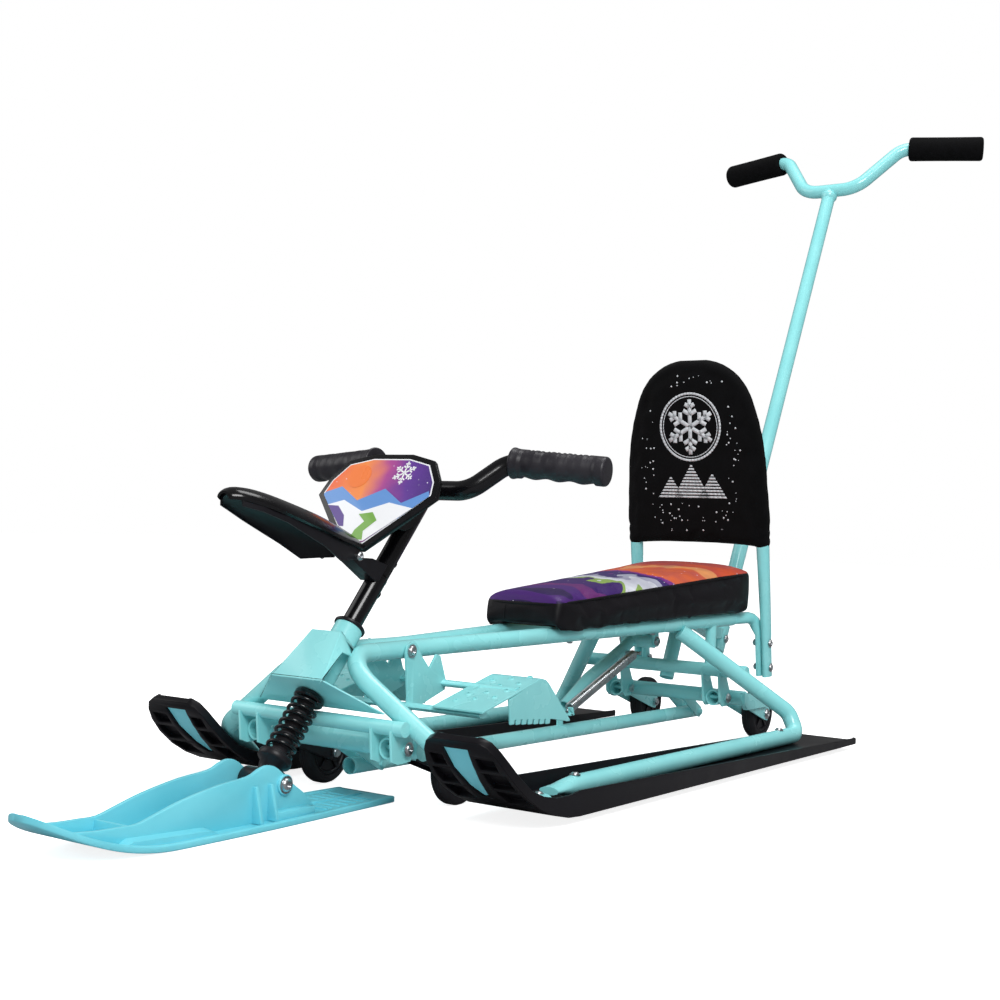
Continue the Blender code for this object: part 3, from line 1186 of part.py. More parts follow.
def front_ski():
    ribs = []
    for side in (1, -1):
        x = side * FRONT_WALL_X
        foot = side * (FRONT_WALL_X + 0.013)
        for y in (-0.5990, -0.5780):
            ribs.append(prism([(x - side * 0.001, y, 0.0050), (foot, y, 0.0050), (x + side * 0.004, y, 0.0400),
                               (x - side * 0.001, y, 0.0400)], (0, 0.0040, 0)))
        low_x, high_x = sorted((x - side * 0.001, side * (FRONT_WALL_X + 0.0120)))
        ribs.append(slab((low_x, -0.7550, 0.0060), (high_x, -0.6600, 0.0150)))
        low_x, high_x = sorted((x - side * 0.001, side * (FRONT_WALL_X + 0.0100)))
        ribs.append(slab((low_x, -0.5770, 0.0030), (high_x, -0.5200, 0.0130)))
        ribs.append(lathe([(0.0100, -0.002), (0.0100, 0.003)], (x, PIVOT.y, PIVOT.z), (side, 0, 0), 16))
    cross = [slab((-FRONT_WALL_X + 0.001, -0.7450, 0.0040), (FRONT_WALL_X - 0.001, -0.7410, 0.0220)),
             slab((-0.0350, -0.5000, 0.0030), (0.0350, -0.4960, 0.0070)),
             slab((-0.0020, -0.4960, 0.0030), (0.0020, -0.4050, 0.0070))]
    ski = weld(front_sole(), channel_wall(1), channel_wall(-1), *ribs, *cross)
    return cut(ski, hole(PIVOT + Vector((-0.05, 0, 0)), (1, 0, 0), 0.10, SKI_BOLT_R))


finish("front_ski", front_ski(), SKY, "ski_axis")
run = FRONT_WALL_X + 0.0030 + GAP
finish("ski_pivot_bolt", bolt(PIVOT + Vector((run, 0, 0)), (-1, 0, 0), 2 * run, SKI_BOLT_R, 0.0065, 0.0035), STEEL,
       "ski_axis")


# Foot brake: two carriers on the pivot bolt, two cross bars and two tread plates with teeth

def carrier(side):
    outline = [(-0.3735, 0.1560), (-0.3680, 0.1080), (-0.3695, 0.0950), (-0.3610, 0.0925), (-0.3020, 0.1115),
               (-0.3005, 0.1220), (-0.3120, 0.1500), (-0.3190, 0.1520), (-0.3310, 0.1370), (-0.3450, 0.1510),
               (-0.3550, 0.1650), (-0.3640, 0.1675), (-0.3710, 0.1645)]
    return prism([(side * BRAKE_X, y, z) for y, z in outline], (side * BRAKE_T, 0, 0))


FRONT_BAR = Vector((0.0, -0.3660, 0.0985))
REAR_BAR = Vector((0.0, -0.3030, 0.1190))
BAR_END = 0.1300
bars = []
for at in (FRONT_BAR, REAR_BAR):
    flats = {k: (0.0040, 0.0075) for k in range(2)}
    bars.append(sweep([at - Vector((BAR_END, 0, 0)), at + Vector((BAR_END, 0, 0))], 0.006, FEW_SIDES, (0, 0, 1), flats))
carriers = weld(bars[0], carrier(1), carrier(-1), bars[1])
tools = [hole(BRAKE_PIVOT + Vector((-0.05, 0, 0)), (1, 0, 0), 0.10, PIVOT_BOLT_R + 0.0002)]
finish("brake_carrier", cut(carriers, *tools), MINT, "brake_axis")


def tread_plate():
    """bent sheet: sloping tread, rounded ridge, rear apron, and a toothed outer wall"""
    line = fillet([(0, -0.3760, 0.1035), (0, -0.2600, 0.1330), (0, -0.2060, 0.0810)], (0.022,), math.radians(22))
    shift = Vector((0, 0, -PLATE_T))
    top = [p + Vector((PLATE_IN, 0, 0)) for p in line]
    sheet = prism(top + [p + shift for p in reversed(top)], (PLATE_OUT - PLATE_IN, 0, 0))
    tooth, first, last = 0.0116, -0.3240, -0.2340
    teeth = []
    count = int((last - first) / tooth)
    for k in range(count):
        y = first + tooth * k
        base = 0.0850 - 0.0060 * k / count
        teeth += [(y, base), (y + tooth * 0.62, base), (y + tooth * 0.68, base + 0.0048), (y + tooth * 0.98, base + 0.0048)]
    front = [(-0.3280, 0.1120)]
    rear = [(-0.2100, 0.0790), (-0.2060, 0.0800)]
    over = [(p.y, p.z - 0.0010) for p in reversed(line[1:-1])]
    outline = [(PLATE_OUT - PLATE_T, y, z) for y, z in front + teeth + rear + over]
    wall = prism(outline, (PLATE_T, 0, 0))
    tools = []
    for row, x in enumerate((0.085, 0.103, 0.121)):
        for y in (-0.3230, -0.3000):
            slide = 0.010 * (row - 1)
            z = 0.1170 + (y + slide + 0.323) * 0.254
            tools.append(lathe([(0.0028, -0.02), (0.0028, 0.02)], (x, y + slide, z), (0, 0, 1), 6))
    return cut(weld(sheet, wall), *tools)


bar_clear = []
for at in (FRONT_BAR, REAR_BAR):
    flats = {k: (0.0040 + GAP, 0.0075 + GAP) for k in range(2)}
    bar_clear.append(sweep([at, at + Vector((BAR_END + GAP, 0, 0))], 0.006, FEW_SIDES, (0, 0, 1), flats))
tread = cut(tread_plate(), *bar_clear)
finish("foot_plate_left", tread.copy(), MINT, "brake_axis")
finish("foot_plate_right", flip(tread), MINT, "brake_axis")
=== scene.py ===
# Steering sled for a child: one steered ski in front, two fixed skis behind, four wheels that
# fold up, a padded seat with a backrest and a long pusher handle. It points along -Y.
import math
import random

import bmesh
import bpy
from mathutils import Matrix, Vector
from mathutils.bvhtree import BVHTree


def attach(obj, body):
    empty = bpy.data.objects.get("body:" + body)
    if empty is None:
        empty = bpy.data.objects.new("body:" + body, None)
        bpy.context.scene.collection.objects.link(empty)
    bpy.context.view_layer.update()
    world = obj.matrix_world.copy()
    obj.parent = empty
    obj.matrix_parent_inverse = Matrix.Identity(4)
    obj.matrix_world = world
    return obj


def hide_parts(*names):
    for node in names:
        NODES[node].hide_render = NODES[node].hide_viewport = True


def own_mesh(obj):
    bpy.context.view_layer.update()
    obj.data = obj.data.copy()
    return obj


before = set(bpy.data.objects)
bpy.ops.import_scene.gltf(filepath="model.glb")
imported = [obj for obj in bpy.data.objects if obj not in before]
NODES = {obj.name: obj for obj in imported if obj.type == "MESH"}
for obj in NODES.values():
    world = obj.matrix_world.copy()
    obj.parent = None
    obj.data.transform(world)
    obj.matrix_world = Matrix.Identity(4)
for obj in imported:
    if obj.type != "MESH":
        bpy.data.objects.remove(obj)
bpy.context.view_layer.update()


# Main frame: two bent side tubes and two runner tubes, drawn steel, welded where they meet and
# powder coated mint. The side tubes' feet are pressed flat where they are bolted to the skis.

# sizes below are measured from a datum this far in front of the middle of the sled's length
MIDDLE_Y = 0.0280


def linear(hex_code):
    """sRGB hex to linear RGBA"""
    channels = [int(hex_code[i:i + 2], 16) / 255 for i in (0, 2, 4)]
    return (*[c / 12.92 if c <= 0.04045 else ((c + 0.055) / 1.055) ** 2.4 for c in channels], 1.0)


def add(tree, kind, sockets=None, **settings):
    """one shader node with its settings, and its sockets set to values or linked to outputs"""
    made = tree.nodes.new("ShaderNode" + kind)
    for key, value in settings.items():
        setattr(made, key, value)
    for key, value in (sockets or {}).items():
        if isinstance(value, bpy.types.NodeSocket):
            tree.links.new(value, made.inputs[key])
        else:
            made.inputs[key].default_value = value
    return made


def set_stops(ramp, stops):
    """a ramp node's colours, from pairs of place and hex"""
    elements = ramp.color_ramp.elements
    while len(elements) < len(stops):
        elements.new(0.5)
    for element, (at, tone) in zip(elements, stops):
        element.position = at
        element.color = linear(tone)


def surface(name, tones, roughness, grain, depth, metallic=0.0, patch=0.05, spread=0.05, relief="TexNoise"):
    """two close tones in soft patches, uneven gloss, and a fine relief; patch, grain, depth in metres"""
    material = bpy.data.materials.new(name)
    material.use_nodes = True
    tree = material.node_tree
    shader = tree.nodes["Principled BSDF"]
    shader.inputs["Metallic"].default_value = metallic
    place = add(tree, "TexCoord").outputs["Object"]
    cloud = add(tree, "TexNoise", {"Vector": place, "Scale": 1 / patch, "Detail": 3.0}).outputs[0]
    ramp = add(tree, "ValToRGB", {"Fac": cloud})
    set_stops(ramp, ((0.35, tones[0]), (0.65, tones[1])))
    gloss = add(tree, "MapRange", {"Value": cloud, "From Min": 0.3, "From Max": 0.7,
                                   "To Min": roughness - spread, "To Max": roughness + spread})
    fine = add(tree, relief, {"Vector": place, "Scale": 1 / grain}).outputs[0]
    bump = add(tree, "Bump", {"Height": fine, "Strength": 1.0, "Distance": depth})
    tree.links.new(ramp.outputs[0], shader.inputs["Base Color"])
    tree.links.new(gloss.outputs[0], shader.inputs["Roughness"])
    tree.links.new(bump.outputs[0], shader.inputs["Normal"])
    return material


def shader_of(material):
    """the material's main shader"""
    return material.node_tree.nodes["Principled BSDF"]


def dull(material, level):
    """weaker mirror shine, as on worn or grained surfaces whose pits swallow the light"""
    shader_of(material).inputs["Specular IOR Level"].default_value = level
    return material


# polyester powder baked on steel: satin, with a faint orange peel a millimetre or two across
MINT = surface("mint_powder_coat", ("8FE0E3", "97E6E8"), 0.26, 0.0018, 0.00003)
shader_of(MINT).inputs["Coat Weight"].default_value = 0.4
shader_of(MINT).inputs["Coat Roughness"].default_value = 0.10


def bend(corners, radii, step=math.radians(7)):
    """a line through corners with each inner corner rounded to its radius"""
    corners = [Vector(c) for c in corners]
    line = [corners[0]]
    for before, corner, after, radius in zip(corners, corners[1:], corners[2:], radii):
        back = (before - corner).normalized()
        ahead = (after - corner).normalized()
        half = back.angle(ahead) / 2
        if half > math.radians(88.9):
            line.append(corner)
            continue
        reach = min(radius / math.tan(half), 0.49 * (before - corner).length,
                    0.49 * (after - corner).length)
        bend_r = reach * math.tan(half)
        centre = corner + (back + ahead).normalized() * bend_r / math.sin(half)
        start = corner + back * reach - centre
        turn = math.pi - 2 * half
        axis = start.cross(corner + ahead * reach - centre).normalized()
        steps = max(1, math.ceil(turn / step))
        line += [centre + Matrix.Rotation(turn * k / steps, 3, axis) @ start for k in range(steps + 1)]
    return line + [corners[-1]]


def tube(line, radius, sides=24, across=(1, 0, 0), press=None, bores=(0.0, 0.0)):
    """round bar drawn along a line; press gives its half widths by distance, bores its open ends"""
    line = [Vector(p) for p in line]
    runs = [(b - a).normalized() for a, b in zip(line, line[1:])]
    ways = [runs[0]] + [(a + b).normalized() for a, b in zip(runs, runs[1:])] + [runs[-1]]
    total = sum((b - a).length for a, b in zip(line, line[1:]))
    bm = bmesh.new()
    bmesh.ops.create_circle(bm, segments=sides, radius=1.0)
    verts, loop = bm.verts[:], bm.edges[:]
    side, placed, gone = Vector(across), Matrix(), 0.0
    for k, (point, way) in enumerate(zip(line, ways)):
        side = (side - way * side.dot(way)).normalized()
        wide, thick = press(gone, total) if press else (radius, radius)
        here = Matrix((side * wide, way.cross(side) * thick, way)).transposed().to_4x4()
        here.translation = point
        if k:
            made = bmesh.ops.extrude_edge_only(bm, edges=loop)["geom"]
            verts = [g for g in made if isinstance(g, bmesh.types.BMVert)]
            held = set(verts)
            loop = [g for g in made if isinstance(g, bmesh.types.BMEdge) and set(g.verts) <= held]
        bmesh.ops.transform(bm, matrix=here @ placed.inverted(), verts=verts)
        placed = here
        if k + 1 < len(line):
            gone += (line[k + 1] - point).length
    caps = bmesh.ops.holes_fill(bm, edges=[e for e in bm.edges if e.is_boundary], sides=sides)["faces"]
    bmesh.ops.recalc_face_normals(bm, faces=bm.faces)
    for cap in caps:
        middle = cap.calc_center_median()
        at_start = (middle - line[0]).length < (middle - line[-1]).length
        bore = bores[0 if at_start else 1]
        if bore:
            bmesh.ops.inset_region(bm, faces=[cap], thickness=radius - bore, use_even_offset=True)
            well = bmesh.ops.extrude_discrete_faces(bm, faces=[cap])["faces"]
            inward = ways[0] if at_start else -ways[-1]
            bmesh.ops.translate(bm, vec=inward * 0.03, verts=well[0].verts)
    return bm


def put(name, bm, material, body, *nodes, crease=42, moved=True, slot=None):
    """the finished piece, riding on its body in place of the named nodes"""
    if moved:
        bmesh.ops.translate(bm, vec=(0, -MIDDLE_Y, 0), verts=bm.verts)
    mesh = bpy.data.meshes.new(name)
    bm.to_mesh(mesh)
    bm.free()
    mesh.shade_smooth()
    mesh.set_sharp_from_angle(angle=math.radians(crease))
    mesh.materials.append(material)
    piece = bpy.data.objects.new(name, mesh)
    bpy.context.scene.collection.objects.link(piece)
    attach(piece, body)
    if nodes:
        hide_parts(*nodes)
    return piece


def swap(point, side=-1):
    """the point on the other side of the sled, or on the given side"""
    return Vector((side * point[0], point[1], point[2]))


SIDES = ((1, "left"), (-1, "right"))
TUBE_R = 0.010
FOOT_Z = 0.0183
RAIL_FRONT = (0.0148, -0.330, 0.1585)
RAIL_REAR = (0.074, 0.315, 0.173)
SIDE_TUBE = bend([(0.1935, -0.3440, FOOT_Z), (0.1885, -0.3730, FOOT_Z + 0.0035), (0.150, -0.457, 0.068),
                  (0.0225, -0.474, 0.1575), RAIL_FRONT, RAIL_REAR], (0.02, 0.035, 0.046, 0.30))
RUNNER_R = 0.011
RUNNER_Z = 0.0243
RUNNER = bend([(0.1942, -0.335, RUNNER_Z), (0.194, 0.283, RUNNER_Z), (0.180, 0.285, 0.052),
               (0.066, 0.178, 0.160)], (0.020, 0.020))


def faded(distance, start, length):
    """falls smoothly from 1 to 0 over a length that begins at start"""
    left = 1 - min(1.0, max(0.0, (distance - start) / length))
    return left * left * (3 - 2 * left)


def pressed_foot(gone, total):
    """flat under the bolt, round again a finger's width further up"""
    flat = faded(gone, 0.036, 0.030)
    return TUBE_R + 0.0026 * flat, TUBE_R - 0.0050 * flat


def pressed_tip(gone, total):
    """the runner's front end, closed and flattened over two finger widths"""
    flat = faded(gone, 0.004, 0.042)
    return RUNNER_R + 0.0008 * flat, RUNNER_R - 0.0068 * flat


runner_line = [RUNNER[0].lerp(RUNNER[1], k / 40) for k in range(40)] + RUNNER[1:]
for side, mark in SIDES:
    rail = tube([swap(p, side) for p in SIDE_TUBE], TUBE_R, 28, (0.9, -0.3, 0), pressed_foot)
    put("side_tube_fine_" + mark, rail, MINT, "frame", "side_tube_" + mark)
    runner = tube([swap(p, side) for p in runner_line], RUNNER_R, 28, press=pressed_tip)
    put("runner_tube_fine_" + mark, runner, MINT, "frame", "runner_tube_" + mark)


# Steering head: a turned steel tube with a moulded bush in it, and in front of it the mask, one
# steel sheet cut and folded round the tubes and welded on. Both are coated with the frame.

PIVOT = Vector((0.0, -0.556, 0.037))
RAKE = math.radians(40)
AXIS = Vector((0.0, math.sin(RAKE), math.cos(RAKE)))
FACE = Vector((0.0, -math.cos(RAKE), math.sin(RAKE)))
X_AXIS = Vector((1, 0, 0))
Z_AXIS = Vector((0, 0, 1))

# glass-filled polypropylene from a satin mould: near black with a fine spark-eroded grain
BLACK_PLASTIC = dull(surface("black_moulded_plastic", ("131217", "19181D"), 0.38, 0.0011, 0.00004), 0.35)


def turned(profile, base, axis, steps=40, closed=False):
    """shape turned on a lathe from radius and height pairs"""
    base, axis = Vector(base), Vector(axis).normalized()
    side = axis.orthogonal().normalized()
    bm = bmesh.new()
    verts = [bm.verts.new(base + axis * h + side * r) for r, h in profile]
    rim = verts[1:] + verts[:1] if closed else verts[1:]
    edges = [bm.edges.new(pair) for pair in zip(verts, rim)]
    bmesh.ops.spin(bm, geom=verts + edges, cent=base, axis=axis, angle=2 * math.pi, steps=steps,
                   use_merge=True)
    bmesh.ops.remove_doubles(bm, verts=bm.verts, dist=1e-6)
    bmesh.ops.holes_fill(bm, edges=[e for e in bm.edges if e.is_boundary], sides=steps)
    bmesh.ops.recalc_face_normals(bm, faces=bm.faces)
    return bm


def softened(node, material, body, edge=0.0005, crease=42, slot=None):
    """the node's own solid, its facets merged and its sharp edges broken as a finished part's are"""
    bm = bmesh.new()
    bm.from_mesh(NODES[node].data)
    bmesh.ops.remove_doubles(bm, verts=bm.verts, dist=1e-5)
    bmesh.ops.dissolve_limit(bm, angle_limit=math.radians(0.6), verts=bm.verts, edges=bm.edges)
    piece = put(node + "_fine", bm, material, body, node, crease=crease, moved=False, slot=slot)
    if edge:
        broken = piece.modifiers.new("broken_edges", "BEVEL")
        broken.width = edge
        broken.segments = 2
        broken.limit_method = "ANGLE"
        broken.angle_limit = math.radians(50)
        broken.use_clamp_overlap = False
        broken.harden_normals = True
    return piece


HEAD_LOW = 0.1058
HEAD_TOP = 0.1900
head = [(0.0134, HEAD_LOW), (0.0156, HEAD_LOW), (0.0156, HEAD_TOP), (0.0134, HEAD_TOP)]
put("steering_head_fine", turned(head, PIVOT, AXIS, closed=True), MINT, "frame", "steering_head")
bush = [(0.0115, HEAD_LOW), (0.0131, HEAD_LOW), (0.0131, HEAD_TOP + 0.0003), (0.0168, HEAD_TOP + 0.0003),
        (0.0175, 0.1912), (0.0175, 0.1932), (0.0165, 0.1943), (0.0115, 0.1943)]
put("steering_bush_fine", turned(bush, PIVOT, AXIS, closed=True), BLACK_PLASTIC, "frame", "steering_bush")
softened("head_mask", MINT, "frame", 0.0009)


# Hangers: cross tubes with folded lugs for the wheel carriages, the posts up to the rails, the
# lever's bracket, the pusher's clamp socket and the elbows at the rails' ends, all welded steel.

for node in ("front_hanger", "rear_hanger", "lever_bracket", "pusher_socket"):
    softened(node, MINT, "frame", 0.0005)
for mark in ("left", "right"):
    softened("rail_elbow_" + mark, MINT, "frame", 0.0)


def cross_bar(name, half, y, z, radius, body):
    """straight welded bar from side to side"""
    put(name, tube([(-half, y, z), (half, y, z)], radius, across=Z_AXIS), MINT, body)


cross_bar("front_cross_tube", 0.1165, -0.478, 0.092, 0.0077, "frame")
cross_bar("rear_cross_tube", 0.1280, 0.256, 0.104, 0.0092, "frame")
cross_bar("lever_cross_bar", 0.0555, 0.181, 0.163, 0.0062, "frame")
for side, mark in SIDES:
    post = tube([(side * 0.0692, 0.263, 0.104), (side * 0.0692, 0.263, 0.168)], 0.0077)
    put("rail_post_" + mark, post, MINT, "frame")
centre_post = tube([(0, 0.2640, 0.0860), (0, 0.2980, 0.1680)], 0.0102, bores=(0.0082, 0))
put("centre_post", centre_post, MINT, "frame")


# Backrest hoop: one bent steel tube, its two ends pressed flat and bolted outside the rail elbows.

BACK_X = 0.106
BACK_LOW_Y, BACK_LOW_Z = 0.3725, 0.090
HOOP_R = 0.0098


def back_y(z):
    """the backrest leans forward a little as it rises"""
    return BACK_LOW_Y - 0.128 * (z - BACK_LOW_Z)


rise = [Vector((x, back_y(z), z)) for x, z in
        ((BACK_X, BACK_LOW_Z), (BACK_X, 0.150), (0.1035, 0.320), (0.0960, 0.440), (0.062, 0.533))]
HOOP_BENDS = (0.001, 0.40, 0.30, 0.075)
BACK_HOOP = bend(rise + [swap(p) for p in reversed(rise)], HOOP_BENDS + HOOP_BENDS[::-1])


def pressed_ends(gone, total):
    """both ends flat where they are bolted on"""
    flat = faded(min(gone, total - gone), 0.054, 0.022)
    return HOOP_R + 0.0010 * flat, HOOP_R - 0.0038 * flat


hoop = [BACK_HOOP[0].lerp(BACK_HOOP[1], k / 8) for k in range(8)] + BACK_HOOP[1:-1]
hoop += [BACK_HOOP[-2].lerp(BACK_HOOP[-1], k / 8) for k in range(1, 9)]
put("backrest_tube_fine", tube(hoop, HOOP_R, 24, (0, 1, 0), pressed_ends, (0.0050, 0.0050)),
    MINT, "frame", "backrest_tube")


# Pusher: a straight steel rod in the socket, welded under a bent handle bar, with two sleeves of
# moulded foam pushed over the bar's ends.

PUSH_R = 0.011
PUSH_LOW = Vector((0.0, 0.4125, 0.1170))
PUSH_TOP = Vector((0.0, 0.788, 0.879))
PUSH_WAY = (PUSH_TOP - PUSH_LOW).normalized()
BAR_AT = PUSH_TOP + PUSH_WAY * 0.0113
push_half = [BAR_AT + Vector(p) for p in ((0.046, 0.0, 0.0), (0.105, 0.055, 0.072), (0.2305, 0.089, 0.066))]
push_bar = bend([swap(p) for p in reversed(push_half)] + push_half, (0.035, 0.045, 0.045, 0.035))
put("pusher_bar", tube(push_bar, PUSH_R, across=Z_AXIS), MINT, "frame", "pusher_handle")
push_rod = tube([PUSH_LOW + PUSH_WAY * 0.002, PUSH_TOP + PUSH_WAY * 0.008], PUSH_R)
put("pusher_rod", push_rod, MINT, "frame")
# the bead of the weld between rod and bar
bead = [(0.0111, -0.0075), (0.0122, -0.0055), (0.0136, -0.0022), (0.0136, 0.0015), (0.0100, 0.0060)]
put("pusher_weld", turned(bead, PUSH_TOP, PUSH_WAY), MINT, "frame")

# nitrile foam rubber, closed cells about a millimetre across, dull black
FOAM = dull(surface("black_foam", ("070708", "0C0C0E"), 0.9, 0.0012, 0.00025, patch=0.008,
                    relief="TexVoronoi"), 0.12)
GRIP_BORE = PUSH_R + 0.0001
# a grip's closed end stands this far past the bar's
GRIP_END = 0.0028


def sleeve_on_bar(bar, start_x, radius, rounding, waists):
    """hollow grip round the last straight stretch of a bar; waists are (share, factor) pairs"""
    way = (bar[-1] - bar[-2]).normalized()
    start = bar[-2] + way * ((start_x - bar[-2].x) / way.x)
    length = (bar[-1] - start).length + GRIP_END
    arc = [math.radians(a) for a in (0, 22, 45, 68, 90)]
    profile = [(GRIP_BORE, 0.0)]
    profile += [(radius - rounding * (1 - math.sin(a)), rounding * (1 - math.cos(a))) for a in arc]
    profile += [(radius * factor, share * length) for share, factor in waists]
    profile += [(radius - rounding * (1 - math.cos(a)), length - rounding * (1 - math.sin(a))) for a in arc]
    return turned(profile + [(0.0, length)], start, way, 48), start, way, length


def mirrored(bm):
    """turned into the other hand's shape, its faces still pointing outwards"""
    bmesh.ops.scale(bm, vec=(-1, 1, 1), verts=bm.verts)
    bmesh.ops.reverse_faces(bm, faces=bm.faces)


foam_waist = [(k / 12, 1 - 0.012 * math.sin(math.pi * k / 12)) for k in range(1, 12)]
for side, mark in SIDES:
    grip = sleeve_on_bar(push_half, 0.1165, 0.0200, 0.0050, foam_waist)[0]
    if side == -1:
        mirrored(grip)
    foam = put("pusher_foam_" + mark, grip, FOAM, "frame", "pusher_grip_" + mark)


# Rear skis: injection moulded polyethylene with raised rims, pockets under the turned-up tips and
# a sky-blue insert pressed into each tip. Screws through the tubes hold them.

# high density polyethylene, black for the rear skis
SKI_BLACK = dull(surface("black_polyethylene", ("0E0D11", "131217"), 0.36, 0.0014, 0.00004), 0.22)
# the same polyethylene coloured sky blue: waxy, a little light goes into it
SKY = surface("sky_blue_polyethylene", ("70D0E0", "7DDAE9"), 0.33, 0.0016, 0.00004, patch=0.09)
shader_of(SKY).inputs["Subsurface Weight"].default_value = 0.08
shader_of(SKY).inputs["Subsurface Radius"].default_value = (0.003, 0.004, 0.004)
for mark in ("left", "right"):
    softened("rear_ski_" + mark, SKI_BLACK, "frame", 0.0009, 50, slot="black_moulded_plastic")
    softened("ski_insert_" + mark, SKY, "frame", 0.0004, 50)


# Fasteners: zinc-plated socket screws with pressed washers and hexagon nuts.

# bright zinc on turned steel, faintly brushed
STEEL = surface("zinc_steel", ("C2C5C8", "DADCDE"), 0.30, 0.0009, 0.00002, metallic=1.0, patch=0.012)


def six_sided(radius, low, high, base, axis):
    """hexagonal nut with its outer corners turned down"""
    profile = [(radius * 0.86, low), (radius, low + 0.0005), (radius, high - 0.0006), (radius * 0.88, high)]
    return turned(profile, base, axis, 6)


def gathered(parts):
    """several shapes in one mesh"""
    bm = parts[0]
    for part in parts[1:]:
        holder = bpy.data.meshes.new("part")
        part.to_mesh(holder)
        part.free()
        bm.from_mesh(holder)
        bpy.data.meshes.remove(holder)
    return bm


def screw(name, start, way, length, shank, body, *nodes, cap=0.0060, nut=True):
    """domed head and washer outside start, shank along way, and a nut beyond the far end"""
    start, way = Vector(start), Vector(way).normalized()
    height = cap * 0.55
    profile = [(cap * 0.42, -height * 0.45), (cap * 0.42, -height), (cap * 0.62, -height * 0.97),
               (cap * 0.86, -height * 0.66), (cap, -height * 0.18), (cap, -0.0004),
               (cap * 1.25, -0.0004), (cap * 1.25, 0.0), (shank, 0.0), (shank, length)]
    parts = [turned(profile, start, way, 24)]
    if nut:
        parts.append(six_sided(cap, length, length + cap * 0.62, start, way))
        parts.append(turned([(shank, length + cap * 0.6), (shank, length + cap * 0.85)], start, way, 16))
    put(name, gathered(parts), STEEL, body, *nodes, crease=38)


def rail_at(y):
    """how far out and how high the middle of a rail lies"""
    share = (y - RAIL_FRONT[1]) / (RAIL_REAR[1] - RAIL_FRONT[1])
    return [RAIL_FRONT[k] + share * (RAIL_REAR[k] - RAIL_FRONT[k]) for k in (0, 2)]


# where the wheel carriages swing on the hangers' pins, on the left
SWINGS = (("front", 0.0907, -0.462, 0.0704), ("rear", 0.0783, 0.269, 0.0651))
SWING_HALF = 0.0143
screw("brake_pivot_screw", (0.0314, -0.364, 0.1575), (-1, 0, 0), 0.0628, 0.003, "frame", "brake_pivot_bolt")
screw("lever_pivot_screw", (0.0268, 0.185, 0.143), (-1, 0, 0), 0.0536, 0.003, "frame", "lever_pivot_bolt")
for side, mark in SIDES:
    for k, y in enumerate((-0.285, 0.225)):
        screw(f"ski_screw_{mark}_{k}", (side * 0.1942, y, RUNNER_Z + RUNNER_R), -Z_AXIS, 0.008, 0.0025,
              "frame", cap=0.0050, nut=False)
    screw(f"foot_screw_{mark}", (side * 0.1930, -0.352, FOOT_Z + 0.0052), -Z_AXIS, 0.004, 0.0025, "frame",
          cap=0.0045, nut=False)
    for k, z in enumerate((0.103, 0.138)):
        screw(f"backrest_screw_{mark}_{k}", (side * (BACK_X + 0.0060), back_y(z), z), (-side, 0, 0),
              0.0225, 0.0025, "frame", cap=0.0050)
    for end, x, y, z in SWINGS:
        centre = Vector((side * x, y, z))
        screw(f"{end}_swing_screw_{mark}", centre + X_AXIS * side * (SWING_HALF + 0.0036), (-side, 0, 0),
              2 * SWING_HALF + 0.0072, 0.0025, "frame", cap=0.0058)
for k, y in enumerate((-0.060, 0.120)):
    rail_x, rail_z = rail_at(y)
    for side, mark in SIDES:
        screw(f"seat_screw_{k}_{mark}", (side * rail_x, y, rail_z - 0.0102), Z_AXIS, 0.005, 0.002, "frame",
              cap=0.0038, nut=False)
screw("socket_screw", PUSH_LOW + PUSH_WAY * 0.020 + X_AXIS * 0.0142, (-1, 0, 0), 0.0284, 0.0025, "frame",
      cap=0.0050)


# Wheel carriages: each is a welded beam with two stub tubes on the hangers' pins, arms for the
# wheels and ears for the link tube that makes both carriages swing together.

softened("front_carriage", MINT, "front_carriage", 0.0005)
softened("rear_carriage", MINT, "rear_carriage", 0.0005)
cross_bar("front_beam", 0.1078, -0.436, 0.0675, 0.0122, "front_carriage")
cross_bar("rear_beam", 0.1078, 0.297, 0.0635, 0.0102, "rear_carriage")
STUB_ENDS = {"front": (-0.4742, -0.438), "rear": (0.2568, 0.295)}
for side, mark in SIDES:
    for end, x, _, z in SWINGS:
        stub = tube([(side * x, y, z) for y in STUB_ENDS[end]], 0.0111, bores=(0.0092, 0))
        put(f"{end}_stub_{mark}", stub, MINT, end + "_carriage")
    softened("wheel_fork_" + mark, BLACK_PLASTIC, "front_carriage", 0.0008)
LINK_Z = (0.0370, 0.0317)
link_line = [(0, -0.425, LINK_Z[0]), (0, -0.395, LINK_Z[0]), (0, 0.336, LINK_Z[1]), (0, 0.357, LINK_Z[1])]
softened("link_tube", MINT, "link", 0.0005)
put("link_bar", tube(link_line, 0.0092, bores=(0.0074, 0.0074)), MINT, "link")


# Wheels: moulded black hubs with five spokes under solid rubber tyres, on plated axle screws.

# styrene-butadiene rubber, vulcanised in a mould: dull, with a fine skin
RUBBER = dull(surface("black_rubber", ("1D1C20", "252428"), 0.62, 0.0010, 0.00005), 0.35)
WHEEL_X = 0.0925
WHEEL_R = 0.0360
FRONT_AXLE_Y, REAR_AXLE_Y = -0.360, 0.371
AXLE_RUN = 0.0310
SPOKES = 5


def both_halves(half):
    """a lathe profile and its mirror image"""
    return half + [(r, -h) for r, h in reversed(half)]


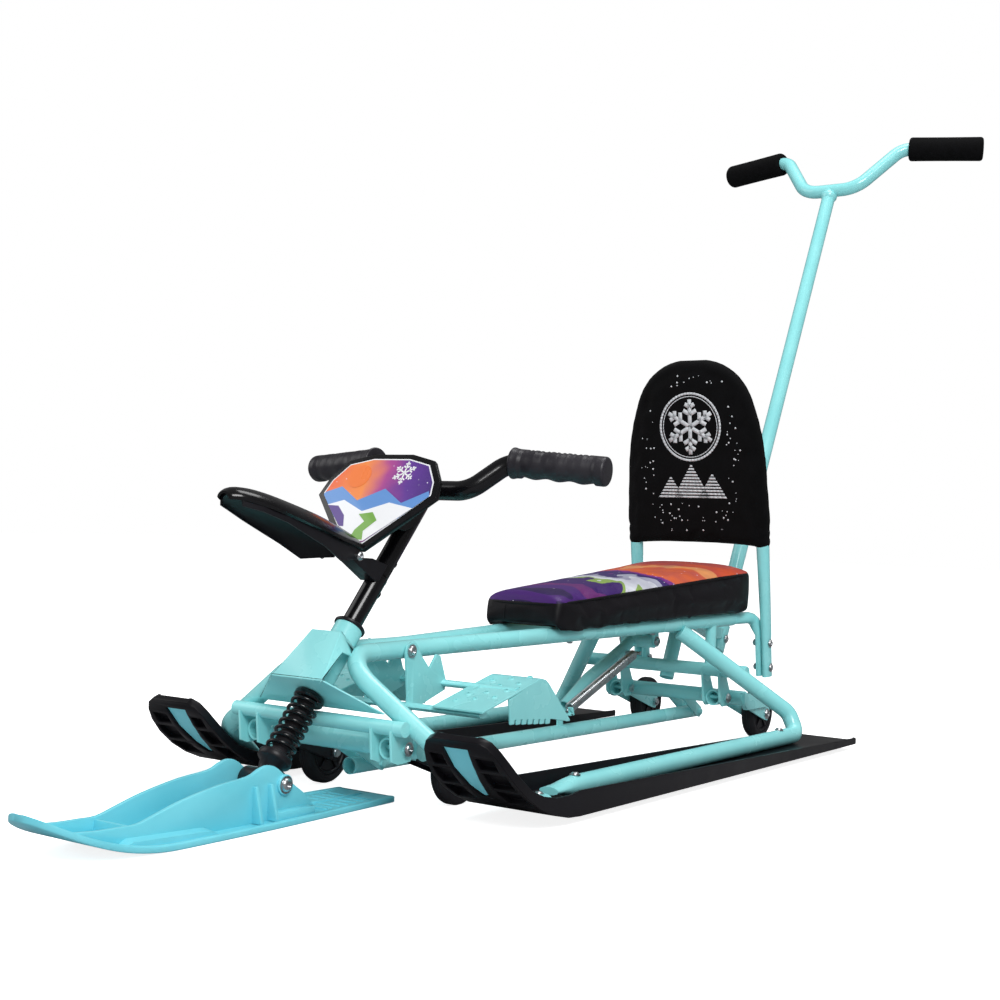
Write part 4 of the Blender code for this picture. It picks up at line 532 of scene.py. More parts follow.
def wheel_hub(at):
    """turned rim and boss with a thin web, and five moulded ribs on each face"""
    half = [(0.0046, -0.0110), (0.0090, -0.0110), (0.0098, -0.0102), (0.0104, -0.0062), (0.0220, -0.0054),
            (0.0228, -0.0076), (0.0240, -0.0084), (0.0263, -0.0078)]
    bm = turned(both_halves(half), at, X_AXIS, 48, closed=True)
    for k in range(SPOKES):
        rib = bmesh.ops.create_cube(bm, size=1.0)["verts"]
        bmesh.ops.scale(bm, vec=(0.0158, 0.0040, 0.0135), verts=rib)
        bmesh.ops.translate(bm, vec=(0, 0, 0.0160), verts=rib)
        spin = Matrix.Rotation(2 * math.pi * k / SPOKES, 3, "X")
        bmesh.ops.rotate(bm, cent=(0, 0, 0), matrix=spin, verts=rib)
        bmesh.ops.translate(bm, vec=at, verts=rib)
    return bm


tread = [(0.0268, -0.0088), (0.0300, -0.0092), (0.0330, -0.0086), (0.0352, -0.0062), (0.0358, -0.0042)]
for groove in (-0.0030, 0.0, 0.0030):
    tread += [(WHEEL_R, groove - 0.0009), (0.0354, groove - 0.0004), (0.0354, groove + 0.0004),
              (WHEEL_R, groove + 0.0009)]
tread += [(r, -h) for r, h in reversed(tread[:5])]
for end, y in (("front", FRONT_AXLE_Y), ("rear", REAR_AXLE_Y)):
    for side, mark in SIDES:
        wheel = f"{end}_{mark}"
        body = "wheel_" + wheel
        at = Vector((side * WHEEL_X, y, WHEEL_R))
        put("tyre_fine_" + wheel, turned(tread, at, X_AXIS, 64, closed=True), RUBBER, body, "tyre_" + wheel)
        put("hub_fine_" + wheel, wheel_hub(at), BLACK_PLASTIC, body, "hub_" + wheel)
        screw("axle_screw_" + wheel, at + X_AXIS * side * AXLE_RUN / 2, (-side, 0, 0), AXLE_RUN, 0.004,
              end + "_carriage", "axle_" + wheel, cap=0.0062)


# Retract lever: a bent steel tube with a turned boss on the bracket's screw, pulled by a long
# close-wound extension spring hooked between its pin and the plate on the link tube.

LEVER_PIVOT = Vector((0.0, 0.185, 0.143))
SPRING_X = 0.0156
SPRING_PIN = LEVER_PIVOT + Vector((SPRING_X, -0.0300, -0.0155))
SPRING_SEAT = Vector((SPRING_X, -0.0120, 0.0640))
PULL = (SPRING_PIN - SPRING_SEAT).normalized()
LEVER_X = -0.0120
lever_line = bend([LEVER_PIVOT + Vector((LEVER_X, 0, 0)), LEVER_PIVOT + Vector((LEVER_X, -0.022, -0.010)),
                   (LEVER_X, 0.0700, 0.0960), (LEVER_X, 0.0140, 0.0640)], (0.02, 0.05))
put("lever_tube", tube(lever_line, 0.0080, 24, bores=(0, 0.0064)), MINT, "lever", "retract_lever")
boss = both_halves([(0.0032, -0.0232), (0.0090, -0.0232), (0.0095, -0.0226)])
put("lever_boss", turned(boss, LEVER_PIVOT, X_AXIS, closed=True), MINT, "lever")
pin = [(0.0022, 0.0), (0.0022, 0.0296), (0.0030, 0.0298), (0.0030, 0.0304), (0.0020, 0.0310)]
put("lever_spring_pin", turned(pin, SPRING_PIN + X_AXIS * (LEVER_X - SPRING_X), X_AXIS, 20), STEEL, "lever")


def coil(start, end, radius, turns, steps, lead):
    """helix between two points, its first and last stretch running straight along the axis"""
    start, end = Vector(start), Vector(end)
    axis = (end - start).normalized()
    side = (X_AXIS - axis * X_AXIS.dot(axis)).normalized()
    up = axis.cross(side)
    rise = (end - start).length - 2 * lead
    line = [start + side * radius]
    for k in range(turns * steps + 1):
        angle = 2 * math.pi * k / steps
        line.append(start + axis * (lead + rise * k / (turns * steps))
                    + (side * math.cos(angle) + up * math.sin(angle)) * radius)
    return line + [end + side * radius]


SPRING_R = 0.0056
SPRING_TURNS = 62
# across a coiled wire, out of line with its axis
WIRE_SIDE = (0.2, 0.5, 0.8)
# from a point of a placed piece back to the measuring datum
DATUM = Vector((0, MIDDLE_Y, 0))
spring_low = SPRING_SEAT + PULL * 0.0004 - X_AXIS * SPRING_R
spring_high = SPRING_PIN - PULL * 0.0026 - X_AXIS * SPRING_R
spring = coil(spring_low, spring_high, SPRING_R, SPRING_TURNS, 20, 0.003)
pull_spring = put("pull_spring", tube(spring, 0.00122, 8, WIRE_SIDE), STEEL, "lever", "extension_spring",
                  crease=80)
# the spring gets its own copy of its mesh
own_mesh(pull_spring)


# Foot brake: two folded carriers on one screw, two cross bars, and two pressed tread plates with
# a toothed outer wall that bites into the snow when the child's heels push them down.

softened("brake_carrier", MINT, "brake", 0.0005)
collar = [(0.0021, -0.0006), (0.0037, -0.0001), (0.0029, 0.0008), (0.0021, 0.0008)]
for side, mark in SIDES:
    softened("foot_plate_" + mark, MINT, "brake", 0.0006, 50)
    studs = []
    for row, x in enumerate((0.085, 0.103, 0.121)):
        for y in (-0.3450, -0.3230, -0.3000, -0.2780):
            slide = 0.010 * (row - 1)
            z = 0.1170 + (y + slide + 0.323) * 0.254
            studs.append(turned(collar, (side * x, y + slide, z + 0.0001), (0, -0.25, 1), 16, closed=True))
    put("tread_studs_" + mark, gathered(studs), MINT, "brake")


# Shock absorber: a black coil spring over a ribbed rubber bellows, between the column's collar
# and the moulded fork that carries the steering ski.

COLLAR_LOW = 0.0961
CUP_TOP = 0.0295
END_GAP = 0.0004
BELLOWS_RIBS = 10
# stoved black enamel: deep gloss with a slight orange peel
BLACK_GLOSS = dull(surface("black_gloss_enamel", ("08080A", "0D0C10"), 0.24, 0.0030, 0.00003,
                           spread=0.04), 0.35)
shader_of(BLACK_GLOSS).inputs["Coat Weight"].default_value = 0.22
shader_of(BLACK_GLOSS).inputs["Coat Roughness"].default_value = 0.08
low, high = CUP_TOP + END_GAP, COLLAR_LOW - END_GAP
wire = coil(PIVOT + AXIS * low, PIVOT + AXIS * high, 0.0140, 7, 32, 0.0022)
shock_wire = put("shock_coil", tube(wire, 0.0020, 12, WIRE_SIDE), BLACK_GLOSS, "steering", "shock_spring",
                 crease=80)
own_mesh(shock_wire)
folds = [(0.0058, low), (0.0084, low)]
pitch = (COLLAR_LOW - CUP_TOP - 2 * END_GAP) / BELLOWS_RIBS
for k in range(BELLOWS_RIBS):
    for share, r in ((0.12, 0.0082), (0.30, 0.0094), (0.45, 0.0102), (0.60, 0.0102), (0.75, 0.0094),
                     (0.92, 0.0082)):
        folds.append((r, low + pitch * (k + share)))
folds += [(0.0084, high), (0.0058, high)]
boot = put("shock_boot", turned(folds, PIVOT, AXIS, 36, closed=True), RUBBER, "steering", "shock_bellows",
           crease=60)
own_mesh(boot)
cup = [(0.0088, 0.004), (0.0104, 0.0100), (0.0130, 0.0190), (0.0172, 0.0222), (0.0180, 0.0232),
       (0.0180, 0.0286), (0.0174, CUP_TOP), (0.0050, CUP_TOP), (0.0050, 0.128)]
put("shock_cup", turned(cup, PIVOT, AXIS, 48), BLACK_PLASTIC, "shock", "shock_fork")
knuckle = both_halves([(0.0104, -0.0230), (0.0120, -0.0224), (0.0125, -0.0214)])
put("shock_knuckle", turned(knuckle, PIVOT, X_AXIS, 40), BLACK_PLASTIC, "shock")


# Steering ski: one polyethylene moulding, a flanged sole with a turned-up nose and a boat-shaped
# channel whose ears hold the fork's pivot screw.

NOSE_START = -0.700
# the sole's half width by y, and the height of the channel's walls by y
SOLE_ROWS = ((-0.3980, 0.0385), (-0.4020, 0.0405), (-0.4700, 0.0440), (-0.5400, 0.0475), (-0.6100, 0.0500),
             (-0.7000, 0.0505), (-0.7300, 0.0505), (-0.7580, 0.0500), (-0.7830, 0.0485), (-0.8050, 0.0440),
             (-0.8220, 0.0370), (-0.8340, 0.0280), (-0.8420, 0.0160), (-0.8450, 0.0060))
WALL_TOP = ((-0.8080, 0.0270), (-0.7850, 0.0250), (-0.7600, 0.0245), (-0.7404, 0.0245), (-0.7194, 0.0300),
            (-0.6876, 0.0385), (-0.6431, 0.0465), (-0.6050, 0.0500), (-0.5900, 0.0555), (-0.5770, 0.0578),
            (-0.5640, 0.0530), (-0.5430, 0.0365), (-0.5240, 0.0236), (-0.5090, 0.0080))
WALL_X = 0.0290
WALL_THICK = 0.0050
FLOOR_Z = 0.0030


def nose_rise(y):
    """how far the sole has curved up under the nose"""
    return 3.0 * max(0.0, NOSE_START - y) ** 2.27


def loft(rings):
    """skin over a row of matching rings, closed at both ends"""
    bm = bmesh.new()
    loops = []
    for points in rings:
        verts = [bm.verts.new(p) for p in points]
        loops.append([bm.edges.new(pair) for pair in zip(verts, verts[1:] + verts[:1])])
    for low, high in zip(loops, loops[1:]):
        bmesh.ops.bridge_loops(bm, edges=low + high)
    bmesh.ops.holes_fill(bm, edges=loops[0] + loops[-1], sides=len(rings[0]))
    bmesh.ops.recalc_face_normals(bm, faces=bm.faces)
    return bm


def between(rows, count):
    """the same rows with smooth ones set in between them"""
    made = []
    for k in range(len(rows) - 1):
        a, b, c, d = (rows[max(0, min(len(rows) - 1, k + j))] for j in (-1, 0, 1, 2))
        for j in range(count):
            t = j / count
            made.append([0.5 * (2 * q + (r - p) * t + (2 * p - 5 * q + 4 * r - s) * t * t
                                + (3 * q - p - 3 * r + s) * t ** 3) for p, q, r, s in zip(a, b, c, d)])
    return made + [list(rows[-1])]


def plate(points, thickness, soften=0.0, segments=3):
    """flat plate: an outline pushed out to its thickness, its edges rounded"""
    bm = bmesh.new()
    face = bm.faces.new([bm.verts.new(p) for p in points])
    side = bmesh.ops.extrude_face_region(bm, geom=[face])["geom"]
    bmesh.ops.translate(bm, vec=thickness, verts=[g for g in side if isinstance(g, bmesh.types.BMVert)])
    bmesh.ops.recalc_face_normals(bm, faces=bm.faces)
    if soften:
        bmesh.ops.bevel(bm, geom=bm.edges[:], offset=soften, segments=segments, profile=0.5, affect="EDGES",
                        material=-1)
    return bm


def sole_ring(row):
    """section of the sole: rounded rims beside a shallow tread"""
    y, half = row
    z = nose_rise(y)
    top = z + 0.0065
    rim = min(0.006, half * 0.3)
    dip = 0.0020 if -0.80 < y < -0.402 else 0.0003
    edge = min(0.0014, half * 0.1)
    side = [(half - edge, z), (half - edge * 0.3, z + edge * 0.3), (half, z + edge), (half, top - edge),
            (half - edge * 0.3, top - edge * 0.3), (half - edge, top), (half - rim + 0.0008, top),
            (half - rim, top - min(dip, 0.0006)), (half - rim - 0.0006, top - dip)]
    return [Vector((x, y, h)) for x, h in side + [(-x, h) for x, h in reversed(side)]]


def block(x, y, z, soften=0.0008):
    """box between three pairs of limits"""
    corners = [(x[0], y[0], z[0]), (x[1], y[0], z[0]), (x[1], y[1], z[0]), (x[0], y[1], z[0])]
    return plate(corners, Vector((0, 0, z[1] - z[0])), soften, 2)


ski_parts = [loft([sole_ring(row) for row in between(SOLE_ROWS, 4)])]
wall_top = between(WALL_TOP, 3)
wall_low = [(-0.5090, FLOOR_Z)]
for k in range(9):
    y = NOSE_START - 0.108 * k / 8
    wall_low.append((y, FLOOR_Z + nose_rise(y)))
# what stands beside a wall reaches 1 mm into it
WALL_IN = WALL_X - 0.001
low_bar = [(WALL_IN, FLOOR_Z), (WALL_X + 0.0120, FLOOR_Z), (WALL_X + 0.0112, 0.0092), (WALL_IN, 0.0112)]
# the low bar beside a wall's front half tapers to nothing at its ends
BAR_RISE = ((-0.7620, 0.30), (-0.7540, 0.92), (-0.7480, 1.0), (-0.6700, 1.0), (-0.6620, 0.92),
            (-0.6520, 0.30))
ear_boss = [(0.0046, -0.002), (0.0100, -0.002), (0.0100, 0.0024), (0.0094, 0.0030), (0.0046, 0.0030)]
for side, _ in SIDES:
    inner, outer = side * (WALL_X - WALL_THICK), side * WALL_X
    wall = [(inner, y, z) for y, z in wall_top + wall_low]
    ski_parts.append(plate(wall, Vector((side * WALL_THICK, 0, 0)), 0.0007, 2))
    for y in (-0.5990, -0.5780):
        rib = [(outer + side * x, y, z) for x, z in
               ((-0.001, 0.0050), (0.013, 0.0050), (0.0085, 0.0220), (0.004, 0.0400), (-0.001, 0.0400))]
        ski_parts.append(plate(rib, Vector((0, 0.0040, 0)), 0.0007, 2))
    pad_x = (side * WALL_IN, side * (WALL_X + 0.0100))
    ski_parts.append(block(pad_x, (-0.5770, -0.5200), (FLOOR_Z, 0.0130), 0.0012))
    ski_parts.append(loft([[Vector((side * x, y, nose_rise(y) + FLOOR_Z + (z - FLOOR_Z) * rise))
                            for x, z in low_bar] for y, rise in BAR_RISE]))
    ski_parts.append(turned(ear_boss, (outer, PIVOT.y, PIVOT.z), (side, 0, 0), 40, closed=True))
ski_parts.append(block((-WALL_IN, WALL_IN), (-0.7450, -0.7410), (0.0040, 0.0220)))
ski_parts.append(block((-0.0350, 0.0350), (-0.5000, -0.4960), (FLOOR_Z, 0.0070)))
ski_parts.append(block((-0.0020, 0.0020), (-0.4960, -0.4050), (FLOOR_Z, 0.0070)))
for k in range(6):
    y = -0.4860 + 0.0125 * k
    for side, _ in SIDES:
        ski_parts.append(block((side * 0.0060, side * 0.0300), (y, y + 0.0016), (FLOOR_Z, 0.0056), 0.0004))
put("front_ski_fine", gathered(ski_parts), SKY, "ski", "front_ski", crease=44)
SKI_PIN_HALF = 0.0323
screw("ski_pivot_screw", PIVOT + X_AXIS * SKI_PIN_HALF, (-1, 0, 0), 2 * SKI_PIN_HALF, 0.004, "ski",
      "ski_pivot_bolt", cap=0.0070)


# Steering column and handlebar: enamelled steel. The upper tube slides in the lower one and a
# screw sets its height. The grips are moulded rubber with finger hollows below and ribs on top.

column = [(0.0054, COLLAR_LOW), (0.0152, COLLAR_LOW), (0.0165, 0.0973), (0.0165, 0.1018), (0.0158, 0.1026),
          (0.0110, 0.1026), (0.0110, 0.2560), (0.0113, 0.2566), (0.0113, 0.2598), (0.0106, 0.2604),
          (0.0054, 0.2604)]
put("column_fine", turned(column, PIVOT, AXIS, closed=True), BLACK_GLOSS, "steering", "steering_column")
BAR_CENTRE = Vector((0.0, -0.312, 0.333))
COLUMN_TOP = (BAR_CENTRE - PIVOT).dot(AXIS) + 0.006
upper = [(0.0100, 0.2607), (0.0109, 0.2612), (0.0109, COLUMN_TOP), (0.0100, COLUMN_TOP + 0.0008)]
put("upper_column", turned(upper, PIVOT, AXIS), BLACK_GLOSS, "steering")
BAR_R = 0.011
bar_half = [Vector((0.062, -0.313, 0.333)), Vector((0.093, -0.281, 0.366)), Vector((0.2054, -0.261, 0.358))]
handlebar = bend([swap(p) for p in reversed(bar_half)] + bar_half, (0.03, 0.03, 0.03, 0.03))
put("handlebar_fine", tube(handlebar, BAR_R, 28, Z_AXIS), BLACK_GLOSS, "steering", "handlebar")
screw("height_screw", PIVOT + AXIS * 0.2440 - FACE * 0.0112, FACE, 0.004, 0.0025, "steering", cap=0.0048,
      nut=False)

# thermoplastic rubber: softer sheen than the tyres
GRIP = dull(surface("soft_grip_rubber", ("211F25", "2A282E"), 0.40, 0.0009, 0.00004), 0.45)
FINGERS = 4
RIBS = 18
FLANGE = 0.010
grip_rings = [(k / 48, 1.0) for k in range(2, 46)]
for side, mark in SIDES:
    grip, start, way, length = sleeve_on_bar(bar_half, 0.0970, 0.0163, 0.0035, grip_rings)
    for vert in grip.verts:
        along = (vert.co - start).dot(way)
        spoke = vert.co - start - way * along
        if spoke.length < 0.0125:
            continue
        share = along / length
        out = spoke.normalized()
        down = max(0.0, -out.z) ** 0.7
        front = max(0.0, -out.y)
        wave = 0.5 - 0.5 * math.cos(2 * math.pi * FINGERS * share)
        hollow = 0.0021 * max(down, front) * wave * (0.12 < share < 0.88)
        rib = 0.0009 * max(0.0, out.z) * (math.sin(2 * math.pi * RIBS * share) > 0) * (0.18 < share < 0.80)
        lip = 0.0026 * max(0.0, 1 - along / FLANGE) ** 2
        vert.co += out * (lip - hollow - rib)
    if side == -1:
        mirrored(grip)
    put("hand_grip_" + mark, grip, GRIP, "steering", "grip_" + mark, crease=50, slot="black_rubber")


# Dashboard: a six-sided moulded shield on a housing round the column, with a printed label under
# clear film. The label's design is a plain snow scene: hills, a low sun and one ice crystal.

SHIELD_AT = Vector((0.0, -0.3715, 0.3632))
DOWN = Vector((0.0, -0.0400, -0.0615)).normalized()
OUT = Vector((0.0, -0.0615, 0.0400)).normalized()
# distance down the shield's face, and its half width there
SHIELD_ROWS = ((-0.0085, 0.0260), (0.0, 0.0595), (0.0250, 0.0770), (0.0470, 0.0820), (0.0800, 0.0500),
               (0.1150, 0.0150))


def shield_outline(inset):
    """corners of the shield's outline, each edge drawn in by inset"""
    corners = [Vector((wide, down)) for down, wide in SHIELD_ROWS]
    corners += [Vector((-wide, down)) for down, wide in reversed(SHIELD_ROWS)]
    drawn = []
    for before, here, after in zip(corners[-1:] + corners[:-1], corners, corners[1:] + corners[:1]):
        ways = [(here - before).normalized(), (after - here).normalized()]
        inward = (Vector((-ways[0].y, ways[0].x)) + Vector((-ways[1].y, ways[1].x))).normalized()
        drawn.append(here + inward * inset / max(0.3, inward.dot(Vector((-ways[0].y, ways[0].x)))))
    return [tuple(p) for p in drawn]


def on_shield(x, down, level):
    """place on the shield's face, level above it"""
    return SHIELD_AT + Vector((x, 0, 0)) + DOWN * down + OUT * level


softened("dash_shield", BLACK_GLOSS, "steering", 0.0006)
rim = plate([on_shield(x, d, -0.0058) for x, d in shield_outline(-0.0003)], OUT * 0.0060, 0.0016)
put("shield_rim", rim, BLACK_GLOSS, "steering")


def printed(name, hexes):
    """printed film under a clear gloss: its colours run in wide soft bands along one axis"""
    material = bpy.data.materials.new(name)
    material.use_nodes = True
    tree = material.node_tree
    shader = tree.nodes["Principled BSDF"]
    shader.inputs["Roughness"].default_value = 0.28
    shader.inputs["Coat Weight"].default_value = 0.6
    shader.inputs["Coat Roughness"].default_value = 0.12
    ramp = add(tree, "ValToRGB")
    set_stops(ramp, hexes)
    return material, tree, shader, ramp


def dots(tree, place, spacing, size):
    """mask of small round specks, one in each cell of the given spacing"""
    cell = add(tree, "TexVoronoi", {"Vector": place, "Scale": 1 / spacing, "Randomness": 0.9})
    return add(tree, "MapRange", {"Value": cell.outputs["Distance"], "From Min": size, "From Max": size * 0.7,
                                  "To Min": 0.0, "To Max": 1.0}).outputs[0]


SKY_PRINT, tree, shader, ramp = printed("printed_label", (
    (0.0, "E8622A"), (0.30, "F08A3C"), (0.48, "A8408C"), (0.70, "5A2C90"), (1.0, "2E1C62")))
place = add(tree, "TexCoord").outputs["Object"]
parts = add(tree, "SeparateXYZ", {"Vector": place})
# the colours run across the label from the rider's right to the left over 150 mm
across = add(tree, "MapRange", {"Value": parts.outputs["X"], "From Min": -0.072, "From Max": 0.078,
                                "To Min": 0.0, "To Max": 1.0}).outputs[0]
cloud = add(tree, "TexNoise", {"Vector": place, "Scale": 22.0, "Detail": 2.0}).outputs[0]
waved = add(tree, "Math", {0: cloud, 1: 0.34}, operation="MULTIPLY").outputs[0]
mixed = add(tree, "Math", {0: across, 1: waved}, operation="ADD").outputs[0]
tree.links.new(add(tree, "Math", {0: mixed, 1: 0.17}, operation="SUBTRACT").outputs[0], ramp.inputs["Fac"])
stars = dots(tree, place, 0.011, 0.085)
lit = add(tree, "MixRGB", {"Fac": stars, "Color1": ramp.outputs[0], "Color2": linear("E9E4F4")})
tree.links.new(lit.outputs[0], shader.inputs["Base Color"])

# white and tinted inks of the print's own shapes
INKS = {}
for ink, tone in (("white_ink", "EDEFF2"), ("green_ink", "6FA63C"), ("blue_ink", "5B8FD0"),
                  ("orange_ink", "EE7A33"), ("violet_ink", "4B2A86")):
    INKS[ink] = surface(ink, (tone, tone), 0.30, 0.0012, 0.00001, spread=0.03)
    shader_of(INKS[ink]).inputs["Coat Weight"].default_value = 0.6


INK_THICK = 0.0002
LABEL_SLOT = "black_gloss_enamel"


def label_shape(points, level):
    """thin printed shape on the shield's face"""
    return plate([on_shield(x, d, level) for x, d in points], OUT * INK_THICK)


def label_piece(name, points, material, level):
    """a shape of the label as its own piece"""
    put(name, label_shape(points, level), material, "steering", slot=LABEL_SLOT)


def disc(x, d, radius, sides=32):
    """corners of a round dot"""
    return [(x + radius * math.cos(2 * math.pi * k / sides), d + radius * math.sin(2 * math.pi * k / sides))
            for k in range(sides)]


label_piece("label_border", shield_outline(0.0068), INKS["white_ink"], 0.0004)
label_piece("label_sky", shield_outline(0.0084), SKY_PRINT, 0.0007)
label_piece("label_sun", disc(-0.034, 0.022, 0.0150), INKS["orange_ink"], 0.0010)
# the edges of the hills follow the print's outline
FAR_HILL = ((-0.0722, 0.0440), (-0.052, 0.036), (-0.022, 0.054), (0.010, 0.038), (0.040, 0.056),
            (0.0700, 0.0400), (0.0732, 0.0465), (0.0440, 0.0760), (-0.0440, 0.0760), (-0.0735, 0.0470))
NEAR_HILL = ((-0.0600, 0.0605), (-0.040, 0.054), (-0.008, 0.068), (0.024, 0.056), (0.0580, 0.0625),
             (0.0115, 0.1055), (-0.0115, 0.1055))
WOODS = ((-0.0590, 0.0615), (-0.044, 0.062), (-0.030, 0.074), (-0.024, 0.088), (-0.0300, 0.0880))
TRAIL = ((-0.010, 0.0720), (0.008, 0.0690), (0.018, 0.0790), (0.006, 0.0930), (0.0100, 0.1040),
         (-0.008, 0.1040), (-0.006, 0.0920), (0.002, 0.0810))
label_piece("label_far_hill", FAR_HILL, INKS["blue_ink"], 0.0010)
label_piece("label_near_hill", NEAR_HILL, INKS["white_ink"], 0.0013)
label_piece("label_woods", WOODS, INKS["violet_ink"], 0.0016)
label_piece("label_path", TRAIL, INKS["green_ink"], 0.0016)


def crystal(radius, width):
    """strokes of a six-armed ice crystal: each is four corners"""
    strokes = []
    for arm in range(6):
        turn = Matrix.Rotation(math.radians(60 * arm), 2)
        segments = [((0.0, 0.0), (0.0, radius))]
        for share, reach in ((0.45, 0.30), (0.72, 0.22)):
            for hand in (1, -1):
                root = (0.0, radius * share)
                segments.append((root, (hand * radius * reach * 0.87, radius * (share + reach * 0.5))))
        for a, b in segments:
            a, b = Vector(a), Vector(b)
            thick = Vector((a.y - b.y, b.x - a.x)).normalized() * width / 2
            strokes.append([turn @ p for p in (a - thick, b - thick, b + thick, a + thick)])
    return strokes


FLAKE_X, FLAKE_DOWN = 0.026, 0.0170
flake = [label_shape([(FLAKE_X + p.x, FLAKE_DOWN + p.y) for p in stroke], 0.0010)
         for stroke in crystal(0.0150, 0.0018)]
put("label_crystal", gathered(flake), INKS["white_ink"], "steering", slot=LABEL_SLOT)


# Visor: a beak of gloss black plastic over a satin lower shell that is clamped to the column.

# stations from back to front: y, ridge height, half width, drop of the arch, depth of its skirt
VISOR = ((-0.4400, 0.2800, 0.0220, 0.0120, 0.0080), (-0.4567, 0.2875, 0.0265, 0.0150, 0.0130),
         (-0.4818, 0.2962, 0.0315, 0.0180, 0.0200), (-0.5100, 0.3050, 0.0345, 0.0190, 0.0130),
         (-0.5650, 0.3190, 0.0340, 0.0170, 0.0060), (-0.5920, 0.3245, 0.0275, 0.0140, 0.0050),
         (-0.6120, 0.3255, 0.0185, 0.0100, 0.0050), (-0.6226, 0.3215, 0.0090, 0.0055, 0.0050))


def visor_ring(station, wall, below):
    """thin arch across the visor, its skirts a share of their full depth"""
    y, ridge, half, drop, skirt = station
    arch = [(-1.0, 1.0), (-0.96, 0.80), (-0.86, 0.56), (-0.68, 0.32), (-0.45, 0.13), (-0.22, 0.03),
            (0.0, 0.0)]
    arch += [(-w, d) for w, d in reversed(arch[:-1])]
    tail = skirt * below
    over = [Vector((w * half, y, ridge - drop * d)) for w, d in arch]
    under = [Vector((w * (half - wall), y, ridge - wall - drop * d)) for w, d in arch]
    over = [over[0] - Z_AXIS * tail] + over + [over[-1] - Z_AXIS * tail]
    low = Z_AXIS * max(tail - wall, 0.0004)
    return over + list(reversed([under[0] - low] + under + [under[-1] - low]))


put("visor_top", loft([visor_ring(s, 0.0025, 0.12) for s in between(VISOR, 4)]), BLACK_GLOSS, "steering",
    "visor_upper", crease=46)
softened("visor_lower", BLACK_PLASTIC, "steering", 0.0004, 46)
for side, mark in SIDES:
    screw("visor_screw_" + mark, (side * 0.0262, -0.4500, 0.2600), (-side, 0, 0), 0.004, 0.002, "steering",
          cap=0.0040, nut=False)
screw("visor_clamp_screw", PIVOT + AXIS * 0.2860 - FACE * 0.0112, FACE, 0.004, 0.0022, "steering",
      cap=0.0042, nut=False)


# Seat: a wedge of foam under a stitched cover. The cover's side band is black vinyl, its top panel
# is printed vinyl, and a piping cord runs round the seam. A thin plywood board is under it.

# rotary-cut birch ply, bare on its underside
PLY = surface("plywood_board", ("84633F", "96744C"), 0.7, 0.0030, 0.0001, patch=0.02)
board = softened("seat_board", PLY, "frame", 0.0008)
SEAT_FRONT, SEAT_REAR = -0.118, 0.334


def seat_share(y):
    """0 at the seat's front, 1 at its rear"""
    return (y - SEAT_FRONT) / (SEAT_REAR - SEAT_FRONT)


def seat_half(y):
    """half the seat's width"""
    return 0.057 + 0.044 * seat_share(y)


def seat_floor(y):
    """underside of the seat, on the rails"""
    return rail_at(y)[1] + 0.0103


def seat_seam(y):
    """height of the piped seam; the top panel crowns above it"""
    return 0.2025 + 0.0375 * seat_share(y)


def rail_edge(y):
    """outer edge of the rails under the seat"""
    return rail_at(y)[0] + TUBE_R


def seat_droop(y):
    """how far the cover hangs down outside the rails"""
    return 0.0090 - 0.0065 * seat_share(y)


SEAT_STATIONS = (0.0, 0.008, 0.020, 0.045, 0.10, 0.20, 0.30, 0.40, 0.50, 0.60, 0.70, 0.80, 0.90, 0.955,
                 0.980, 0.992, 1.0)
# the top's crown over half a width, as shares of width and height
CROWN = ((0.90, 0.30), (0.78, 0.56), (0.62, 0.78), (0.42, 0.92), (0.20, 0.99), (0.0, 1.0))


def seat_rings():
    """stations of the unfilled cover, a little under its stuffed size"""
    rings = []
    for share in SEAT_STATIONS:
        round_off = min(1.0, min(share, 1 - share) / 0.030)
        half_at = 0.90 + 0.10 * (1 - (1 - round_off) ** 2) ** 0.5
        y = SEAT_FRONT + 0.002 + share * (SEAT_REAR - SEAT_FRONT - 0.004)
        half = (seat_half(y) - 0.0015) * half_at
        floor, seam = seat_floor(y), seat_seam(y)
        crown = 0.0105 * (0.45 + 0.55 * round_off)
        low = floor - seat_droop(y) * round_off
        profile = [(min(rail_edge(y) + 0.0030, half - 0.006), floor + 0.001), (half - 0.0050, low),
                   (half - 0.0010, low + 0.003), (half, floor + (seam - floor) * 0.5),
                   (half - 0.0004, seam - 0.003), (half - 0.0024, seam)]
        profile += [(half * w, seam + crown * h) for w, h in CROWN]
        # the front face leans back
        lean = 0.006 if share < 0.03 else 0.0
        ring = [Vector((x, y + lean * max(0.0, (z - floor) / (seam - floor)) * (1 - share / 0.03), z))
                for x, z in profile]
        rings.append(ring + [swap(p) for p in reversed(ring[:-1])])
    return rings


